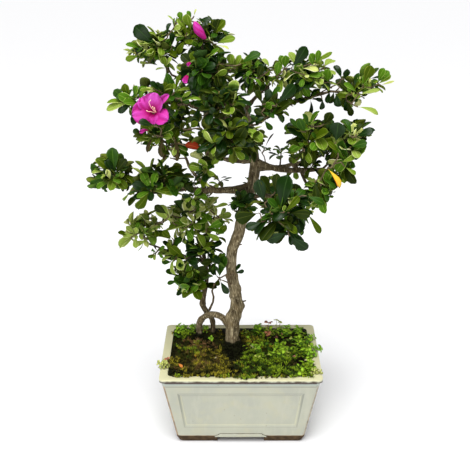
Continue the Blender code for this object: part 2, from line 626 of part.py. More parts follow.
def grow_whorl(foot, axis, leaf, rng, space, obstacles, grown):
    """Leaves round the end of a shoot, by turns upright and spread; one that finds no room is left out."""
    across, other = ring_frame(axis)
    phase = rng.uniform(0, 2 * math.pi)
    blades = []
    for k in range(WHORL):
        angle = phase + 2 * math.pi * k / WHORL
        side = math.cos(angle) * across + math.sin(angle) * other
        opening = (36 if k % 2 else 68) + rng.uniform(-9, 9)
        length = leaf * (0.86 if k % 2 else 1.0) * rng.uniform(0.88, 1.12)
        root = foot + axis * WHORL_HEIGHT / 2 + side * WHORL_RADIUS
        blades.append(None)
        for change, size in ((0, 1.0), (14, 1.0), (-14, 1.0), (0, 0.8), (10, 0.65)):
            tilt = math.radians(opening + change)
            along = axis * math.cos(tilt) + side * math.sin(tilt)
            facing = axis * math.sin(tilt) - side * math.cos(tilt)
            points = blade(root, along, facing, length * size, length * size * LEAF_WIDTH)
            samples = blade_samples(root, points)
            if not inside(points, space) or free_distance(samples, obstacles) < LEAF_ROOM:
                continue
            if grown.meets(root, points):
                continue
            blades[-1] = points
            grown.add_blade(root, points)
            break
    return whorl(foot, axis, phase, blades)


def grow_mass(name, space, stem, obstacles):
    """Meshes (vertices, faces) of a mass: its stem, shoots that branch from it, and leaves on the shoots."""
    _, _, _, radii, shoots, leaf, seed = MASSES[name]
    rng = np.random.default_rng(seed)
    centre = space[0]
    path, thickness = stem
    pieces = [tube(path, thickness, TWIG_SIDES)]
    forks = [(path[k], unit(path[k] - path[k - 1])) for k in range(2, len(path))]
    reach = np.maximum(np.array(radii) - 0.70 * leaf, 0.34 * np.array(radii))
    grown = Grown()
    grown.add_twig(path)
    if name == BLOOM_MASS:
        pieces += grow_bloom(forks, grown)
    if name == BUD_MASS:
        pieces += grow_bud(forks, grown)
    targets = [(d, centre + d * reach * rng.uniform(0.86, 1.0)) for d in spread(shoots, rng.uniform(0, 6.28))]
    targets.sort(key=lambda pair: np.linalg.norm(pair[1] - path[-1]))
    ends = []
    for outward, target in targets:
        axis = unit(outward * 0.8 + np.array([0, 0, 0.45]) + rng.normal(0, 0.18, 3))
        shoot = grow_shoot(target, axis, forks, space, obstacles)
        if shoot is not None:
            pieces.append(shoot_tube(shoot))
            forks += [(shoot[k], unit(shoot[k + 1] - shoot[k - 1])) for k in range(1, len(shoot) - 1)]
            grown.add_twig(shoot)
            ends.append((whorl_foot(shoot), axis))
    for foot, axis in ends:
        pieces.append(grow_whorl(foot, axis, leaf, rng, space, obstacles, grown))
    return pieces


def shoot_tube(shoot):
    thickness = np.linspace(TWIG_RADIUS, TIP_RADIUS, len(shoot))
    thickness[0] = FORK_RADIUS
    return tube(shoot, thickness, TWIG_SIDES)


def whorl_foot(shoot):
    """The knob starts a little before the shoot's end, which it holds."""
    return shoot[-1] - unit(shoot[-1] - shoot[-2]) * WHORL_HEIGHT / 2


def nearest_fork(forks, end):
    return min(forks, key=lambda fork: np.linalg.norm(end - fork[0]))


def grow_shoot(target, axis, forks, space, obstacles):
    """The shoot to a target from the fork that it leaves most easily, or None where there is no room."""
    def effort(fork):
        run = target - fork[0]
        distance = np.linalg.norm(run) + 1e-6
        return distance * (1.35 - 0.5 * (run @ fork[1]) / distance)
    for pull in (1.0, 0.8, 0.6):
        for point, direction in sorted(forks, key=effort)[:3]:
            end = point + (target - point) * pull
            if np.linalg.norm(end - point) < 0.006:
                continue
            path = bend(point, unit(direction + unit(end - point)), end, axis)
            checked = np.vstack([path[0] + (path[1] - path[0]) * 0.5, path[1:]])
            if inside(path[1:], space) and free_distance(checked, obstacles) > TWIG_RADIUS + TWIG_ROOM:
                return path
    return None


def grow_bloom(forks, grown):
    """One open flower: a shoot and a whorl of broad petals."""
    axis = unit(BLOOM_FACING)
    foot = np.array(BLOOM_CENTRE) - axis * PETAL_LENGTH * 0.45
    point, direction = nearest_fork(forks, foot)
    shoot = bend(point, unit(direction + unit(foot - point)), foot, axis)
    across, other = ring_frame(axis)
    blades = []
    for k in range(PETALS):
        angle = 2 * math.pi * k / PETALS
        side = math.cos(angle) * across + math.sin(angle) * other
        tilt = math.radians(PETAL_OPENING)
        along = axis * math.cos(tilt) + side * math.sin(tilt)
        facing = axis * math.sin(tilt) - side * math.cos(tilt)
        root = foot + axis * WHORL_HEIGHT / 2 + side * WHORL_RADIUS
        blades.append(blade(root, along, facing, PETAL_LENGTH, PETAL_LENGTH * PETAL_WIDTH, PETAL_TIP))
        grown.add_blade(root, blades[-1])
    grown.add_twig(shoot)
    return [shoot_tube(shoot), whorl(whorl_foot(shoot), axis, 0.0, blades)]


def grow_bud(forks, grown):
    """One closed flower bud: a shoot and a slim spindle."""
    axis = unit(BUD_DIRECTION)
    foot = np.array(BUD_FOOT)
    point, direction = nearest_fork(forks, foot)
    shoot = bend(point, unit(direction + unit(foot - point)), foot, axis)
    start = foot - axis * 0.001
    points = np.array([start + axis * BUD_LENGTH * share for share in (0.0, 0.3, 0.65, 1.0)])
    spindle = tube(points, np.array([0.35, 0.8, 1.0, 0.2]) * BUD_RADIUS, 4)
    grown.add_twig(shoot)
    grown.add_twig(points)
    return [shoot_tube(shoot), spindle]


def fuse(name, pieces, finish):
    """Joins closed meshes into one body; a union that doesn't close is tried again with one leaf fewer."""
    while True:
        for solver in ("EXACT", "MANIFOLD"):
            joined = union_of(name, pieces, solver)
            for merge in (MERGE, 0.0):
                trial = joined.copy()
                if keep_outer_body(trial, merge):
                    trial.name = name
                    trial.materials.clear()
                    trial.materials.append(finish)
                    body = bpy.data.objects.new(name, trial)
                    bpy.context.scene.collection.objects.link(body)
                    return body
        pieces = pieces[:-1]


def union_of(name, pieces, solver):
    """The mesh of one Boolean union over a collection of all the pieces but the first."""
    base = add_object(name + "_base", pieces[0][0], triangles(pieces[0][1]))
    others = bpy.data.collections.new(name + "_pieces")
    bpy.context.scene.collection.children.link(others)
    for k, (vertices, faces) in enumerate(pieces[1:]):
        piece = add_object(f"{name}_piece_{k}", vertices, triangles(faces))
        bpy.context.scene.collection.objects.unlink(piece)
        others.objects.link(piece)
    union = base.modifiers.new("union", "BOOLEAN")
    union.operation = "UNION"
    union.operand_type = "COLLECTION"
    union.collection = others
    union.solver = solver
    joined = bpy.data.meshes.new_from_object(base.evaluated_get(bpy.context.evaluated_depsgraph_get()))
    for piece in [*others.objects, base]:
        bpy.data.objects.remove(piece, do_unlink=True)
    bpy.data.collections.remove(others)
    return joined


def keep_outer_body(mesh, merge):
    """Leaves only the largest outer shell of a mesh, and says whether it is closed."""
    shape = bmesh.new()
    shape.from_mesh(mesh)
    if merge:
        bmesh.ops.remove_doubles(shape, verts=shape.verts, dist=merge)
        bmesh.ops.dissolve_degenerate(shape, edges=shape.edges, dist=merge)
    bmesh.ops.triangulate(shape, faces=shape.faces)
    unseen = set(shape.verts)
    shells = []
    while unseen:
        shell = {unseen.pop()}
        front = list(shell)
        while front:
            near = [e.other_vert(v) for v in front for e in v.link_edges]
            front = list(set(near) - shell)
            shell.update(front)
        unseen -= shell
        shells.append(shell)
    largest = max(shells, key=lambda shell: sum(f.calc_area() for v in shell for f in v.link_faces))
    spare = [v for v in shape.verts if v not in largest]
    bmesh.ops.delete(shape, geom=spare, context="VERTS")
    closed = all(e.is_manifold and e.is_contiguous for e in shape.edges)
    whole = len(largest) > KEPT_SHARE * sum(len(shell) for shell in shells)
    shape.to_mesh(mesh)
    shape.free()
    return closed and whole


def make_masses(limbs, finish):
    spaces = lay_out_spaces()
    stems = {name: stem_of(name, limbs) for name in MASSES}
    for name in MASSES:
        obstacles = segments_of(list(limbs.values()) + [stem for other, stem in stems.items() if other != name])
        pieces = grow_mass(name, spaces[name], stems[name], obstacles)
        fuse(name, pieces, finish)


def main():
    clear_scene()
    glaze = material("pale_glaze", (0.62, 0.60, 0.48), 0.25)
    earth = material("mossy_soil", (0.07, 0.09, 0.02), 0.95)
    bark = material("bark", (0.22, 0.17, 0.12), 0.9)
    leaf = material("leaf", (0.06, 0.16, 0.03), 0.45)
    make_pot(glaze)
    make_soil(earth)
    limbs = lay_out_limbs()
    make_limbs(limbs, bark)
    make_masses(limbs, leaf)


main()
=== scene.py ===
# Azalea bonsai in a glazed pot: the finished look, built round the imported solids.
# Metres, +Z up, and -Y is the side that faces the viewer. The tables of places are in mm.
import json
from math import atan2, copysign, cos, pi, radians, sin

import bmesh
import bpy
import numpy as np
from mathutils import Matrix, Vector
from numpy.linalg import norm

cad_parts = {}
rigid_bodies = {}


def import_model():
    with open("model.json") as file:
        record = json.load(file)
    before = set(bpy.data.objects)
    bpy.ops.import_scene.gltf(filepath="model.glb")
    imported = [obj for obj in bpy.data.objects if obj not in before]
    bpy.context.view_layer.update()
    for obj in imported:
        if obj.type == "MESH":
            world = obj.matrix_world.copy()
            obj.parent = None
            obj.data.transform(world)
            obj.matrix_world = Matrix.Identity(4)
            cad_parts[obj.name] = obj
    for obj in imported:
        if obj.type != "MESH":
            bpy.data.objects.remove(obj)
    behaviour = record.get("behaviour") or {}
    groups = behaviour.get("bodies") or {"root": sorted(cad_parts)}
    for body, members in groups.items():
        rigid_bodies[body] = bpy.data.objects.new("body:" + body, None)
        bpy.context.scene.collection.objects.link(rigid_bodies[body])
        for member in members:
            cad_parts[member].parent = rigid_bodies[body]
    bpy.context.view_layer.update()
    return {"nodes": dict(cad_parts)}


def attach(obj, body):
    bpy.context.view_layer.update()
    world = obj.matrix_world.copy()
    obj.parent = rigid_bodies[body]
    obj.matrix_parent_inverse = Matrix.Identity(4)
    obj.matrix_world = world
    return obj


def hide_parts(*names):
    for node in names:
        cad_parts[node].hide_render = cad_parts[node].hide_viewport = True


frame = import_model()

massNodes = [name for name in frame["nodes"] if name.startswith("leaves_")]
boughNodes = [name for name in frame["nodes"] if name.startswith("bough_")]

# camera and light

viewValues = {
    "place": (-0.0072, -0.99612, 0.6371), "pitchDown": 20.72,    # degrees
    "lens": 66.42, "sensor": 36, "picture": 470,     # mm, mm, and pixels of the photo's side
    "sky": 0.24, "floorSize": 60.0, "floorLevel": -0.0002,
    "sun": {"power": 3.1, "angle": 55, "from": (-0.15, -0.45, 1.0)},
    "lamps": {                   # place, size, power, what it points at
        "overheadSoftbox": ((0.15, -0.35, 1.6), 0.8, 9.0, (0.0, 0.0, 0.3)),
        "frontFill": ((-0.5, -1.9, 0.6), 1.0, 10.0, (0.0, 0.0, 0.15)),
    },
}
pitch = radians(viewValues["pitchDown"])
pictureUp = np.array([0, sin(pitch), cos(pitch)])
pictureDeep = np.array([0, cos(pitch), -sin(pitch)])


def setUpView():
    v = viewValues
    camera = addObject("camera", bpy.data.cameras.new("camera"))
    camera.location = v["place"]
    camera.rotation_euler = (radians(90 - v["pitchDown"]), 0, 0)
    camera.data.lens, camera.data.sensor_width, camera.data.clip_start = v["lens"], v["sensor"], 0.01
    bpy.context.scene.camera = camera
    for name, (place, size, power, target) in v["lamps"].items():
        lamp = addObject(name, bpy.data.lights.new(name, "AREA"))
        lamp.data.size, lamp.data.energy, lamp.location = size, power, place
        lamp.rotation_euler = (Vector(target) - Vector(place)).to_track_quat("-Z", "Y").to_euler()
    sun = addObject("softSun", bpy.data.lights.new("softSun", "SUN"))
    sun.data.energy, sun.data.angle = v["sun"]["power"], radians(v["sun"]["angle"])
    sun.rotation_euler = Vector(v["sun"]["from"]).to_track_quat("Z", "Y").to_euler()
    world = bpy.data.worlds.new("studio")
    world.use_nodes = True
    tree = world.node_tree
    light = tree.nodes["Background"]
    backdrop = addNode(tree, "ShaderNodeBackground")       # plain white beyond the floor
    for shade, strength in ((light, v["sky"]), (backdrop, 1.0)):
        shade.inputs["Color"].default_value = (1, 1, 1, 1)
        shade.inputs["Strength"].default_value = strength
    seen = addNode(tree, "ShaderNodeLightPath").outputs["Is Camera Ray"]
    choice = addNode(tree, "ShaderNodeMixShader", {0: seen, 1: light, 2: backdrop})
    tree.links.new(choice.outputs[0], tree.nodes["World Output"].inputs["Surface"])
    bpy.context.scene.world = world
    half, low = v["floorSize"] / 2, v["floorLevel"]
    floor = meshObject("studioFloor", [(-half, -half, low), (half, -half, low), (half, half, low), (-half, half, low)],
                       [(0, 1, 2, 3)])
    floor.data.materials.append(newMaterial("paleFloor", (0.9, 0.9, 0.91), 0.7))
    bpy.context.scene.view_settings.view_transform = "Standard"
    print("camera, lamps and floor are set")


# small helpers

def inMetres(values):
    return np.round(np.array(values, float) * 1000) / 1e6


def seenAt(across, down, y):
    # the place at depth y (mm) that the camera sees at a pixel of the picture
    v = viewValues
    scale, middle = v["lens"] / v["sensor"] * v["picture"], v["picture"] / 2
    ray = np.array([(across - middle) / scale, 0, 0]) + (middle - down) / scale * pictureUp + pictureDeep
    start = np.array(v["place"])
    return start + ray * (y / 1000 - start[1]) / ray[1]


def addObject(name, data):
    made = bpy.data.objects.new(name, data)
    bpy.context.scene.collection.objects.link(made)
    return made


def meshObject(name, vertices, faces, edges=()):
    mesh = bpy.data.meshes.new(name)
    mesh.from_pydata([tuple(map(float, v)) for v in vertices], list(edges), list(faces))
    return addObject(name, mesh)


def unit(vector):
    vector = np.asarray(vector, float)
    return vector / norm(vector)


def squareTo(way, along):
    # the direction nearest to the way that stands square to the other one
    return unit(way - along * (way @ along))


def turnOf(x, y, z):
    # the angles that turn the three axes to these directions
    return tuple(Matrix(np.column_stack([x, y, z]).tolist()).to_euler())


def softNoise(points, seed=0):
    # smooth lattice noise from -1 to 1, for an array of points
    cell = np.floor(points).astype(np.int64)
    part = points - cell
    part = part * part * (3 - 2 * part)
    total = np.zeros(len(points))
    for corner in np.ndindex(2, 2, 2):
        at = cell + corner
        key = (at[:, 0] * 73856093) ^ (at[:, 1] * 19349663) ^ (at[:, 2] * 83492791) ^ (seed * 2654435761)
        key = ((key ^ (key >> 13)) * 1274126177) & 0xffffffff
        value = ((key ^ (key >> 16)) & 0xffff) / 32767.5 - 1
        total += value * np.prod(np.where(corner, part, 1 - part), axis=1)
    return total


def shareBetween(value, low, high):
    return np.clip((value - low) / (high - low), 0, 1)


def placesAt(x, y, z):
    # rows of places from arrays of x and y, with z or an array of it
    return np.stack(np.broadcast_arrays(x, y, z), axis=-1).reshape(-1, 3)


def storeValues(mesh, name, values, kind="FLOAT", domain="POINT"):
    layer = mesh.attributes.new(name, kind, domain)
    layer.data.foreach_set("vector" if kind == "FLOAT_VECTOR" else "value", np.asarray(values).ravel())


def tubeFaces(count, rings, start=0):
    # sides and ends of a closed tube of rings, each of so many places
    faces = []
    for a in range(start, start + (rings - 1) * count, count):
        faces += [(a + k, a + (k + 1) % count, a + count + (k + 1) % count, a + count + k) for k in range(count)]
    last = start + (rings - 1) * count
    return faces + [tuple(start + k for k in reversed(range(count))), tuple(last + k for k in range(count))]


def gridFaces(columns, rows, start=0):
    return [(a, a + 1, a + columns + 1, a + columns) for r in range(rows - 1)
            for a in range(start + r * columns, start + (r + 1) * columns - 1)]


def fixNormals(mesh):
    shape = bmesh.new()
    shape.from_mesh(mesh)
    bmesh.ops.recalc_face_normals(shape, faces=shape.faces)
    shape.to_mesh(mesh)
    shape.free()


def shadeSmooth(mesh, angle):
    mesh.shade_smooth()
    mesh.set_sharp_from_angle(angle=radians(angle))


def joinParts(name, parts, labels, finish, turnOut=False):
    # one smooth piece from (vertices, faces, values...) parts, with the values stored under their labels
    faces, start = [], 0
    for points, corners, *_ in parts:
        faces += [tuple(c + start for c in face) for face in corners]
        start += len(points)
    made = meshObject(name, np.vstack([part[0] for part in parts]), faces)
    if turnOut:
        fixNormals(made.data)
    for k, label in enumerate(labels, 2):
        storeValues(made.data, label, np.concatenate([part[k] for part in parts]))
    made.data.shade_smooth()
    made.data.materials.append(finish)
    return made


def finishPiece(piece, nodes=()):
    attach(piece, "root")
    if nodes:
        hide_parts(*nodes)


# nodes, for shapes and for finishes

def addNode(tree, kind, wires={}, **settings):
    # wires: for each socket the node or the output that feeds it, or its value
    node = tree.nodes.new(kind)
    for label, value in settings.items():
        setattr(node, label, value)
    for socket, source in wires.items():
        if isinstance(source, (bpy.types.Node, bpy.types.NodeSocket)):
            output = source.outputs[0] if isinstance(source, bpy.types.Node) else source
            tree.links.new(output, node.inputs[socket])
        else:
            node.inputs[socket].default_value = source
    return node


def mathNode(tree, operation, *values, **settings):
    return addNode(tree, "ShaderNodeMath", dict(enumerate(values)), operation=operation, **settings)


def noiseValue(tree, scale, detail=4.0, stretch=None, low=0.35, high=0.65, share=None):
    # noise on object coordinates, spread over 0 to 1, or to the share
    place = addNode(tree, "ShaderNodeTexCoord").outputs["Object"]
    if stretch:
        place = addNode(tree, "ShaderNodeMapping", {0: place, "Scale": stretch})
    texture = addNode(tree, "ShaderNodeTexNoise", {"Vector": place, "Scale": scale, "Detail": detail})
    spreadOut = addNode(tree, "ShaderNodeMapRange", {"Value": texture, "From Min": low, "From Max": high})
    return mathNode(tree, "MULTIPLY", spreadOut, share) if share else spreadOut


def attributeValue(tree, name):
    return addNode(tree, "ShaderNodeAttribute", attribute_name=name).outputs["Fac"]


def newMaterial(name, colour, roughness, gloss=0.15):
    made = bpy.data.materials.new(name)
    made.use_nodes = True
    made.diffuse_color = (*colour, 1)
    sockets = made.node_tree.nodes["Principled BSDF"].inputs
    for label, value in (("Base Color", (*colour, 1)), ("Roughness", roughness), ("Specular IOR Level", gloss)):
        sockets[label].default_value = value
    return made


def layeredMaterial(name, colour, roughness, layers, bump=None, base=None, gloss=0.15):
    # each layer's colour goes over the last by an attribute, a noise's values or a function of the tree;
    # bump is a noise's values, strength and distance
    made = newMaterial(name, colour, roughness, gloss)
    tree, mixed = made.node_tree, (*(base or colour), 1)
    shader = tree.nodes["Principled BSDF"].inputs
    for source, over in layers:
        if isinstance(source, str):
            factor = attributeValue(tree, source)
        else:
            factor = source(tree) if callable(source) else noiseValue(tree, *source)
        mixed = addNode(tree, "ShaderNodeMix", {0: factor, 6: mixed, 7: (*over, 1)}, data_type="RGBA").outputs[2]
    tree.links.new(mixed, shader["Base Color"])
    if bump:
        wires = {"Height": noiseValue(tree, *bump[0]), "Strength": bump[1], "Distance": bump[2]}
        tree.links.new(addNode(tree, "ShaderNodeBump", wires).outputs[0], shader["Normal"])
    return made


def startTree(name, inputs):
    # a tree with geometry in and out, and the named inputs (label, kind, value)
    tree = bpy.data.node_groups.new(name, "GeometryNodeTree")
    tree.interface.new_socket(name="Geometry", in_out="INPUT", socket_type="NodeSocketGeometry")
    for label, kind, value in inputs:
        socket = tree.interface.new_socket(name=label, in_out="INPUT", socket_type="NodeSocket" + kind)
        if value is not None:
            socket.default_value = value
    tree.interface.new_socket(name="Geometry", in_out="OUTPUT", socket_type="NodeSocketGeometry")
    return tree, addNode(tree, "NodeGroupInput").outputs


def endTree(tree, shapes, finish):
    # realizes the instances and paints them
    real = addNode(tree, "GeometryNodeRealizeInstances", {0: shapes})
    paint = addNode(tree, "GeometryNodeSetMaterial", {"Geometry": real, "Material": finish})
    addNode(tree, "NodeGroupOutput", {0: paint})
    return tree


def namedAttribute(tree, name, kind):
    node = addNode(tree, "GeometryNodeInputNamedAttribute", {"Name": name}, data_type=kind)
    return next(out for out in node.outputs if out.name == "Attribute" and out.enabled)


def grownMesh(name, base, tree, values):
    # the tree's result on the base object as a plain mesh object; the base goes
    modifier = base.modifiers.new(tree.name, "NODES")
    modifier.node_group = tree
    for item in tree.interface.items_tree:
        if item.item_type == "SOCKET" and item.in_out == "INPUT" and item.name in values:
            modifier[item.identifier] = values[item.name]
    ready = bpy.context.evaluated_depsgraph_get()
    mesh = bpy.data.meshes.new_from_object(base.evaluated_get(ready), preserve_all_data_layers=True, depsgraph=ready)
    mesh.name = name
    oldMesh = base.data
    bpy.data.objects.remove(base, do_unlink=True)
    bpy.data.meshes.remove(oldMesh)
    for mark in ("turn", "size", "shape", "thick", *filter(None, bladeParts.values())):
        if mark in mesh.attributes:
            mesh.attributes.remove(mesh.attributes[mark])
    print(f"{name}: {sum(len(p.vertices) - 2 for p in mesh.polygons)} triangles")
    return addObject(name, mesh)


def shapeCollection(name, shapes):
    # shapes (vertices, faces, marks) for a tree to pick from, in their order
    group = bpy.data.collections.new(name)
    for k, (vertices, faces, marks) in enumerate(shapes):
        made = meshObject(f"{name}{k}", vertices, faces)
        bpy.context.scene.collection.objects.unlink(made)
        group.objects.link(made)
        made.data.shade_smooth()
        for mark, values in marks.items():
            storeValues(made.data, mark, values, "BOOLEAN", "FACE")
    return group


def dropCollection(group):
    for made in list(group.objects):
        bpy.data.objects.remove(made, do_unlink=True)
    bpy.data.collections.remove(group)


def pickedShapes(tree, entry, points, wires):
    # a shape from the collection on every point
    shapes = addNode(tree, "GeometryNodeCollectionInfo", {
        "Collection": entry["Shapes"], "Separate Children": True, "Reset Children": True})
    return addNode(tree, "GeometryNodeInstanceOnPoints", {
        "Points": points, "Instance": shapes, "Pick Instance": True, **wires})


bladeParts = {"Blade finish": None, "Rib finish": "isRib", "Margin finish": "isMargin", "Underside finish": "isUnder"}


def sprayTree():
    # puts a shape on every point, turned, sized and chosen by the point's own values
    tree, entry = startTree("spraysOfShapes", [("Shapes", "Collection", None), ("Size", "Float", 1.0)]
                            + [(label, "Material", None) for label in bladeParts])
    turn = addNode(tree, "FunctionNodeEulerToRotation", {0: namedAttribute(tree, "turn", "FLOAT_VECTOR")})
    size = addNode(tree, "ShaderNodeVectorMath", {0: namedAttribute(tree, "size", "FLOAT_VECTOR"),
                                                  "Scale": entry["Size"]}, operation="SCALE")
    place = pickedShapes(tree, entry, entry["Geometry"], {
        "Instance Index": namedAttribute(tree, "shape", "INT"), "Rotation": turn, "Scale": size})
    last = addNode(tree, "GeometryNodeRealizeInstances", {0: place})
    for label, mark in bladeParts.items():
        chosen = {"Selection": namedAttribute(tree, mark, "BOOLEAN")} if mark else {}
        last = addNode(tree, "GeometryNodeSetMaterial", {"Geometry": last, "Material": entry[label], **chosen})
    addNode(tree, "NodeGroupOutput", {0: last})
    return tree


def scatterTree():
    # strews shapes over a surface, thick where its "cover" value is high
    tree, entry = startTree("strewnShapes", [
        ("Shapes", "Collection", None), ("Density", "Float", 1000.0), ("Smallest", "Float", 0.7),
        ("Largest", "Float", 1.3), ("Lean", "Float", 0.4), ("Seed", "Int", 1), ("Finish", "Material", None)])
    dense = mathNode(tree, "MULTIPLY", namedAttribute(tree, "cover", "FLOAT"), entry["Density"])
    points = addNode(tree, "GeometryNodeDistributePointsOnFaces", {
        "Mesh": entry["Geometry"], "Density": dense, "Seed": entry["Seed"]}, distribute_method="RANDOM")
    less = mathNode(tree, "MULTIPLY", entry["Lean"], -1)
    least = addNode(tree, "ShaderNodeCombineXYZ", {0: less, 1: less})
    most = addNode(tree, "ShaderNodeCombineXYZ", {0: entry["Lean"], 1: entry["Lean"], 2: 6.2832})
    lean = addNode(tree, "FunctionNodeRandomValue", {0: least, 1: most, "Seed": entry["Seed"]},
                   data_type="FLOAT_VECTOR")
    size = addNode(tree, "FunctionNodeRandomValue", {2: entry["Smallest"], 3: entry["Largest"],
                                                     "Seed": entry["Seed"]}, data_type="FLOAT")
    turn = addNode(tree, "FunctionNodeEulerToRotation", {0: lean})
    place = pickedShapes(tree, entry, points, {"Rotation": turn, "Scale": size.outputs[1]})
    return endTree(tree, place, entry["Finish"])


def twigTree():
    # turns chains of edges into round twigs, as thick as their points say
    tree, entry = startTree("roundTwigs", [
        ("Sides", "Int", 6), ("Thickness", "Float", 1.0), ("Finish", "Material", None)])
    curve = addNode(tree, "GeometryNodeMeshToCurve", {0: entry["Geometry"]})
    thick = mathNode(tree, "MULTIPLY", namedAttribute(tree, "thick", "FLOAT"), entry["Thickness"])
    radius = addNode(tree, "GeometryNodeSetCurveRadius", {"Curve": curve, "Radius": thick})
    profile = addNode(tree, "GeometryNodeCurvePrimitiveCircle", {"Radius": 1.0, "Resolution": entry["Sides"]})
    sweep = addNode(tree, "GeometryNodeCurveToMesh", {
        "Curve": radius, "Profile Curve": profile, "Scale": thick, "Fill Caps": True})
    return endTree(tree, sweep, entry["Finish"])


def sprayPiece(name, rows, shapes, tree, *finishes):
    # a shape at each row (place, turn, size, shape); the finishes are the blade's, rib's, margin's and underside's
    base = meshObject(name + "Points", [row[0] for row in rows], [])
    for k, (label, kind) in enumerate((("turn", "FLOAT_VECTOR"), ("size", "FLOAT_VECTOR"), ("shape", "INT")), 1):
        storeValues(base.data, label, [row[k] for row in rows], kind)
    return grownMesh(name, base, tree, {"Shapes": shapes, **dict(zip(bladeParts, finishes))})


def chainPiece(name, chains, finish, sides):
    # round twigs or threads from chains of points with their radii
    vertices, edges, thick = [], [], []
    for path, radii in chains:
        start = len(vertices)
        vertices += list(path)
        thick += list(radii)
        edges += [(start + k, start + k + 1) for k in range(len(path) - 1)]
    base = meshObject(name + "Lines", vertices, [], edges)
    storeValues(base.data, "thick", thick)
    piece = grownMesh(name, base, twigTree(), {"Sides": sides, "Finish": finish})
    piece.data.shade_smooth()
    finishPiece(piece)


# limbs, by the same rule and values as the solids, and their names without "bough_"

groundLevel = 0.1
clearance = 0.0003

stemPlaces = {               # x, y, height, radius
    "trunk": [
        (-9.8, 19, 100, 10.8), (-10.7, 19, 112, 8.2), (-9.3, 20, 134, 8.4), (-5.6, 20, 153, 7.6),
        (-6, 20, 170, 7.3), (-9.5, 20, 188.5, 7.1), (-12.2, 19, 213.8, 6.5), (-9.8, 18, 236, 6.4),
        (-4, 16, 253, 7), (3.5, 14, 282.7, 6.4), (13.4, 11, 322, 5.6), (16.8, 10, 343, 6), (14.3, 10, 371, 4.8),
        (10.5, 11, 395, 4), (3.4, 12, 411, 3.5), (-10.7, 14, 432, 2.8)],
    "second_stem": [
        (-36.7, 45, 100, 3.6), (-37.8, 45, 123, 3.1), (-50, 47, 145, 3.6), (-43.8, 46, 187, 2.5),
        (-52.1, 42, 237.6, 2), (-58.1, 40, 258.8, 1.7)],
    "arch_root": [
        (-54.5, 43, 100, 4.6), (-54.8, 41, 117, 3.8), (-50, 37, 129, 3.8), (-40, 32, 136.8, 4),
        (-29, 27, 137.8, 4), (-20.5, 23, 133.5, 4.2), (-14.5, 20, 124, 4.6), (-12.5, 19, 112, 4)],
}

boughRows = {                # parent, place on it, heading, rise, length, turn, lift, radii at base and tip
    "left_low": ("trunk", 322.1, -168, -15, 97.3, -1, 37, 3.4, 2.2),
    "left_tip": ("left_low", 0.82, -182, -19, 61.5, 12, 48, 2, 1.4),
    "bloom_low": ("left_low", 0.46, -179, 28, 60.1, 53, 41, 2.1, 1.4),
    "mid_left": ("trunk", 352.8, -158, -3, 63.7, 3, 36, 3, 1.8),
    "right": ("trunk", 350.3, 7, -24, 74.9, -4, 31, 4, 2.6),
    "right_up": ("right", 0.72, 160, 62, 27.3, -202, -18, 2.1, 1.5),
    "right_hang": ("right", 0.79, -74, -58, 24.9, 37, 18, 2, 1.4),
    "upper_right": ("trunk", 400.3, 18, 21, 99.5, -2, -10, 2.7, 1.6),
    "right_crown": ("upper_right", 0.42, -12, 42, 33, -8, 10, 1.8, 1.3),
    "shoulder": ("trunk", 410.9, 30, 51, 41.8, -20, -14, 2.4, 1.5),
    "apex": ("trunk", 429, 180, 50, 50, 25, 11, 2.6, 1.5),
    "upper_left": ("apex", 0.24, -161, 4, 60, -7, 22, 2.1, 1.4),
    "bloom_high": ("trunk", 416, -156, 18, 78.4, 8, -19, 2.4, 1.5),
    "front_low": ("trunk", 309.6, -71, -9, 40.2, 27, -4, 2.4, 1.6),
    "front_mid": ("trunk", 377.5, -111, 20, 45.1, 1, 0, 2.2, 1.5),
    "lower_left": ("second_stem", 206, -160, 24, 81.2, -4, 2, 1.6, 1.1),
    "back_low_left": ("trunk", 313, 150, -12, 85, 0, 10, 2.8, 1.7),
    "back_low_right": ("trunk", 306, 65, -16, 70, -10, 4, 2.8, 1.7),
    "back_centre": ("trunk", 380, 100, -4, 64, 6, 12, 2.6, 1.6),
    "back_left": ("trunk", 397, 160, 6, 85, -10, 10, 2.5, 1.5),
    "back_right": ("trunk", 341.5, 40, -10, 102, -6, 18, 2.8, 1.6),
    "back_top": ("trunk", 420, 118, 26, 48, 6, 14, 2.2, 1.4),
}


def splineThrough(places, spans=2):
    places = np.array(places, float)
    ends = np.vstack([2 * places[0] - places[1], places, 2 * places[-1] - places[-2]])
    curve = []
    for k in range(len(places) - 1):
        a, b, c, d = ends[k:k + 4]
        for t in np.linspace(0, 1, spans, endpoint=False):
            curve.append(0.5 * (2 * b + (c - a) * t + (2 * a - 5 * b + 4 * c - d) * t ** 2
                                + (3 * b - a - 3 * c + d) * t ** 3))
    return np.array(curve + [places[-1]])


def boughPath(start, heading, rise, length, turn, lift, steps=5):
    points = [np.array(start, float)]
    for k in range(steps):
        t = (k + 0.5) / steps
        h = radians(heading + turn * t)
        r = radians(rise + lift * t)
        step = np.array([cos(h) * cos(r), sin(h) * cos(r), sin(r)])
        points.append(points[-1] + step * length / steps)
    return np.array(points)


def pointOn(limb, place):
    # middle and radius at a height on a stem, or at a share of a bough's length
    points, radii = limb
    if points[0, 2] == groundLevel:
        along = points[:, 2]
    else:
        steps = norm(np.diff(points, axis=0), axis=1)
        along = np.concatenate([[0], np.cumsum(steps)]) / steps.sum()
    middle = np.array([np.interp(place, along, points[:, k]) for k in range(3)])
    return middle, float(np.interp(place, along, radii))


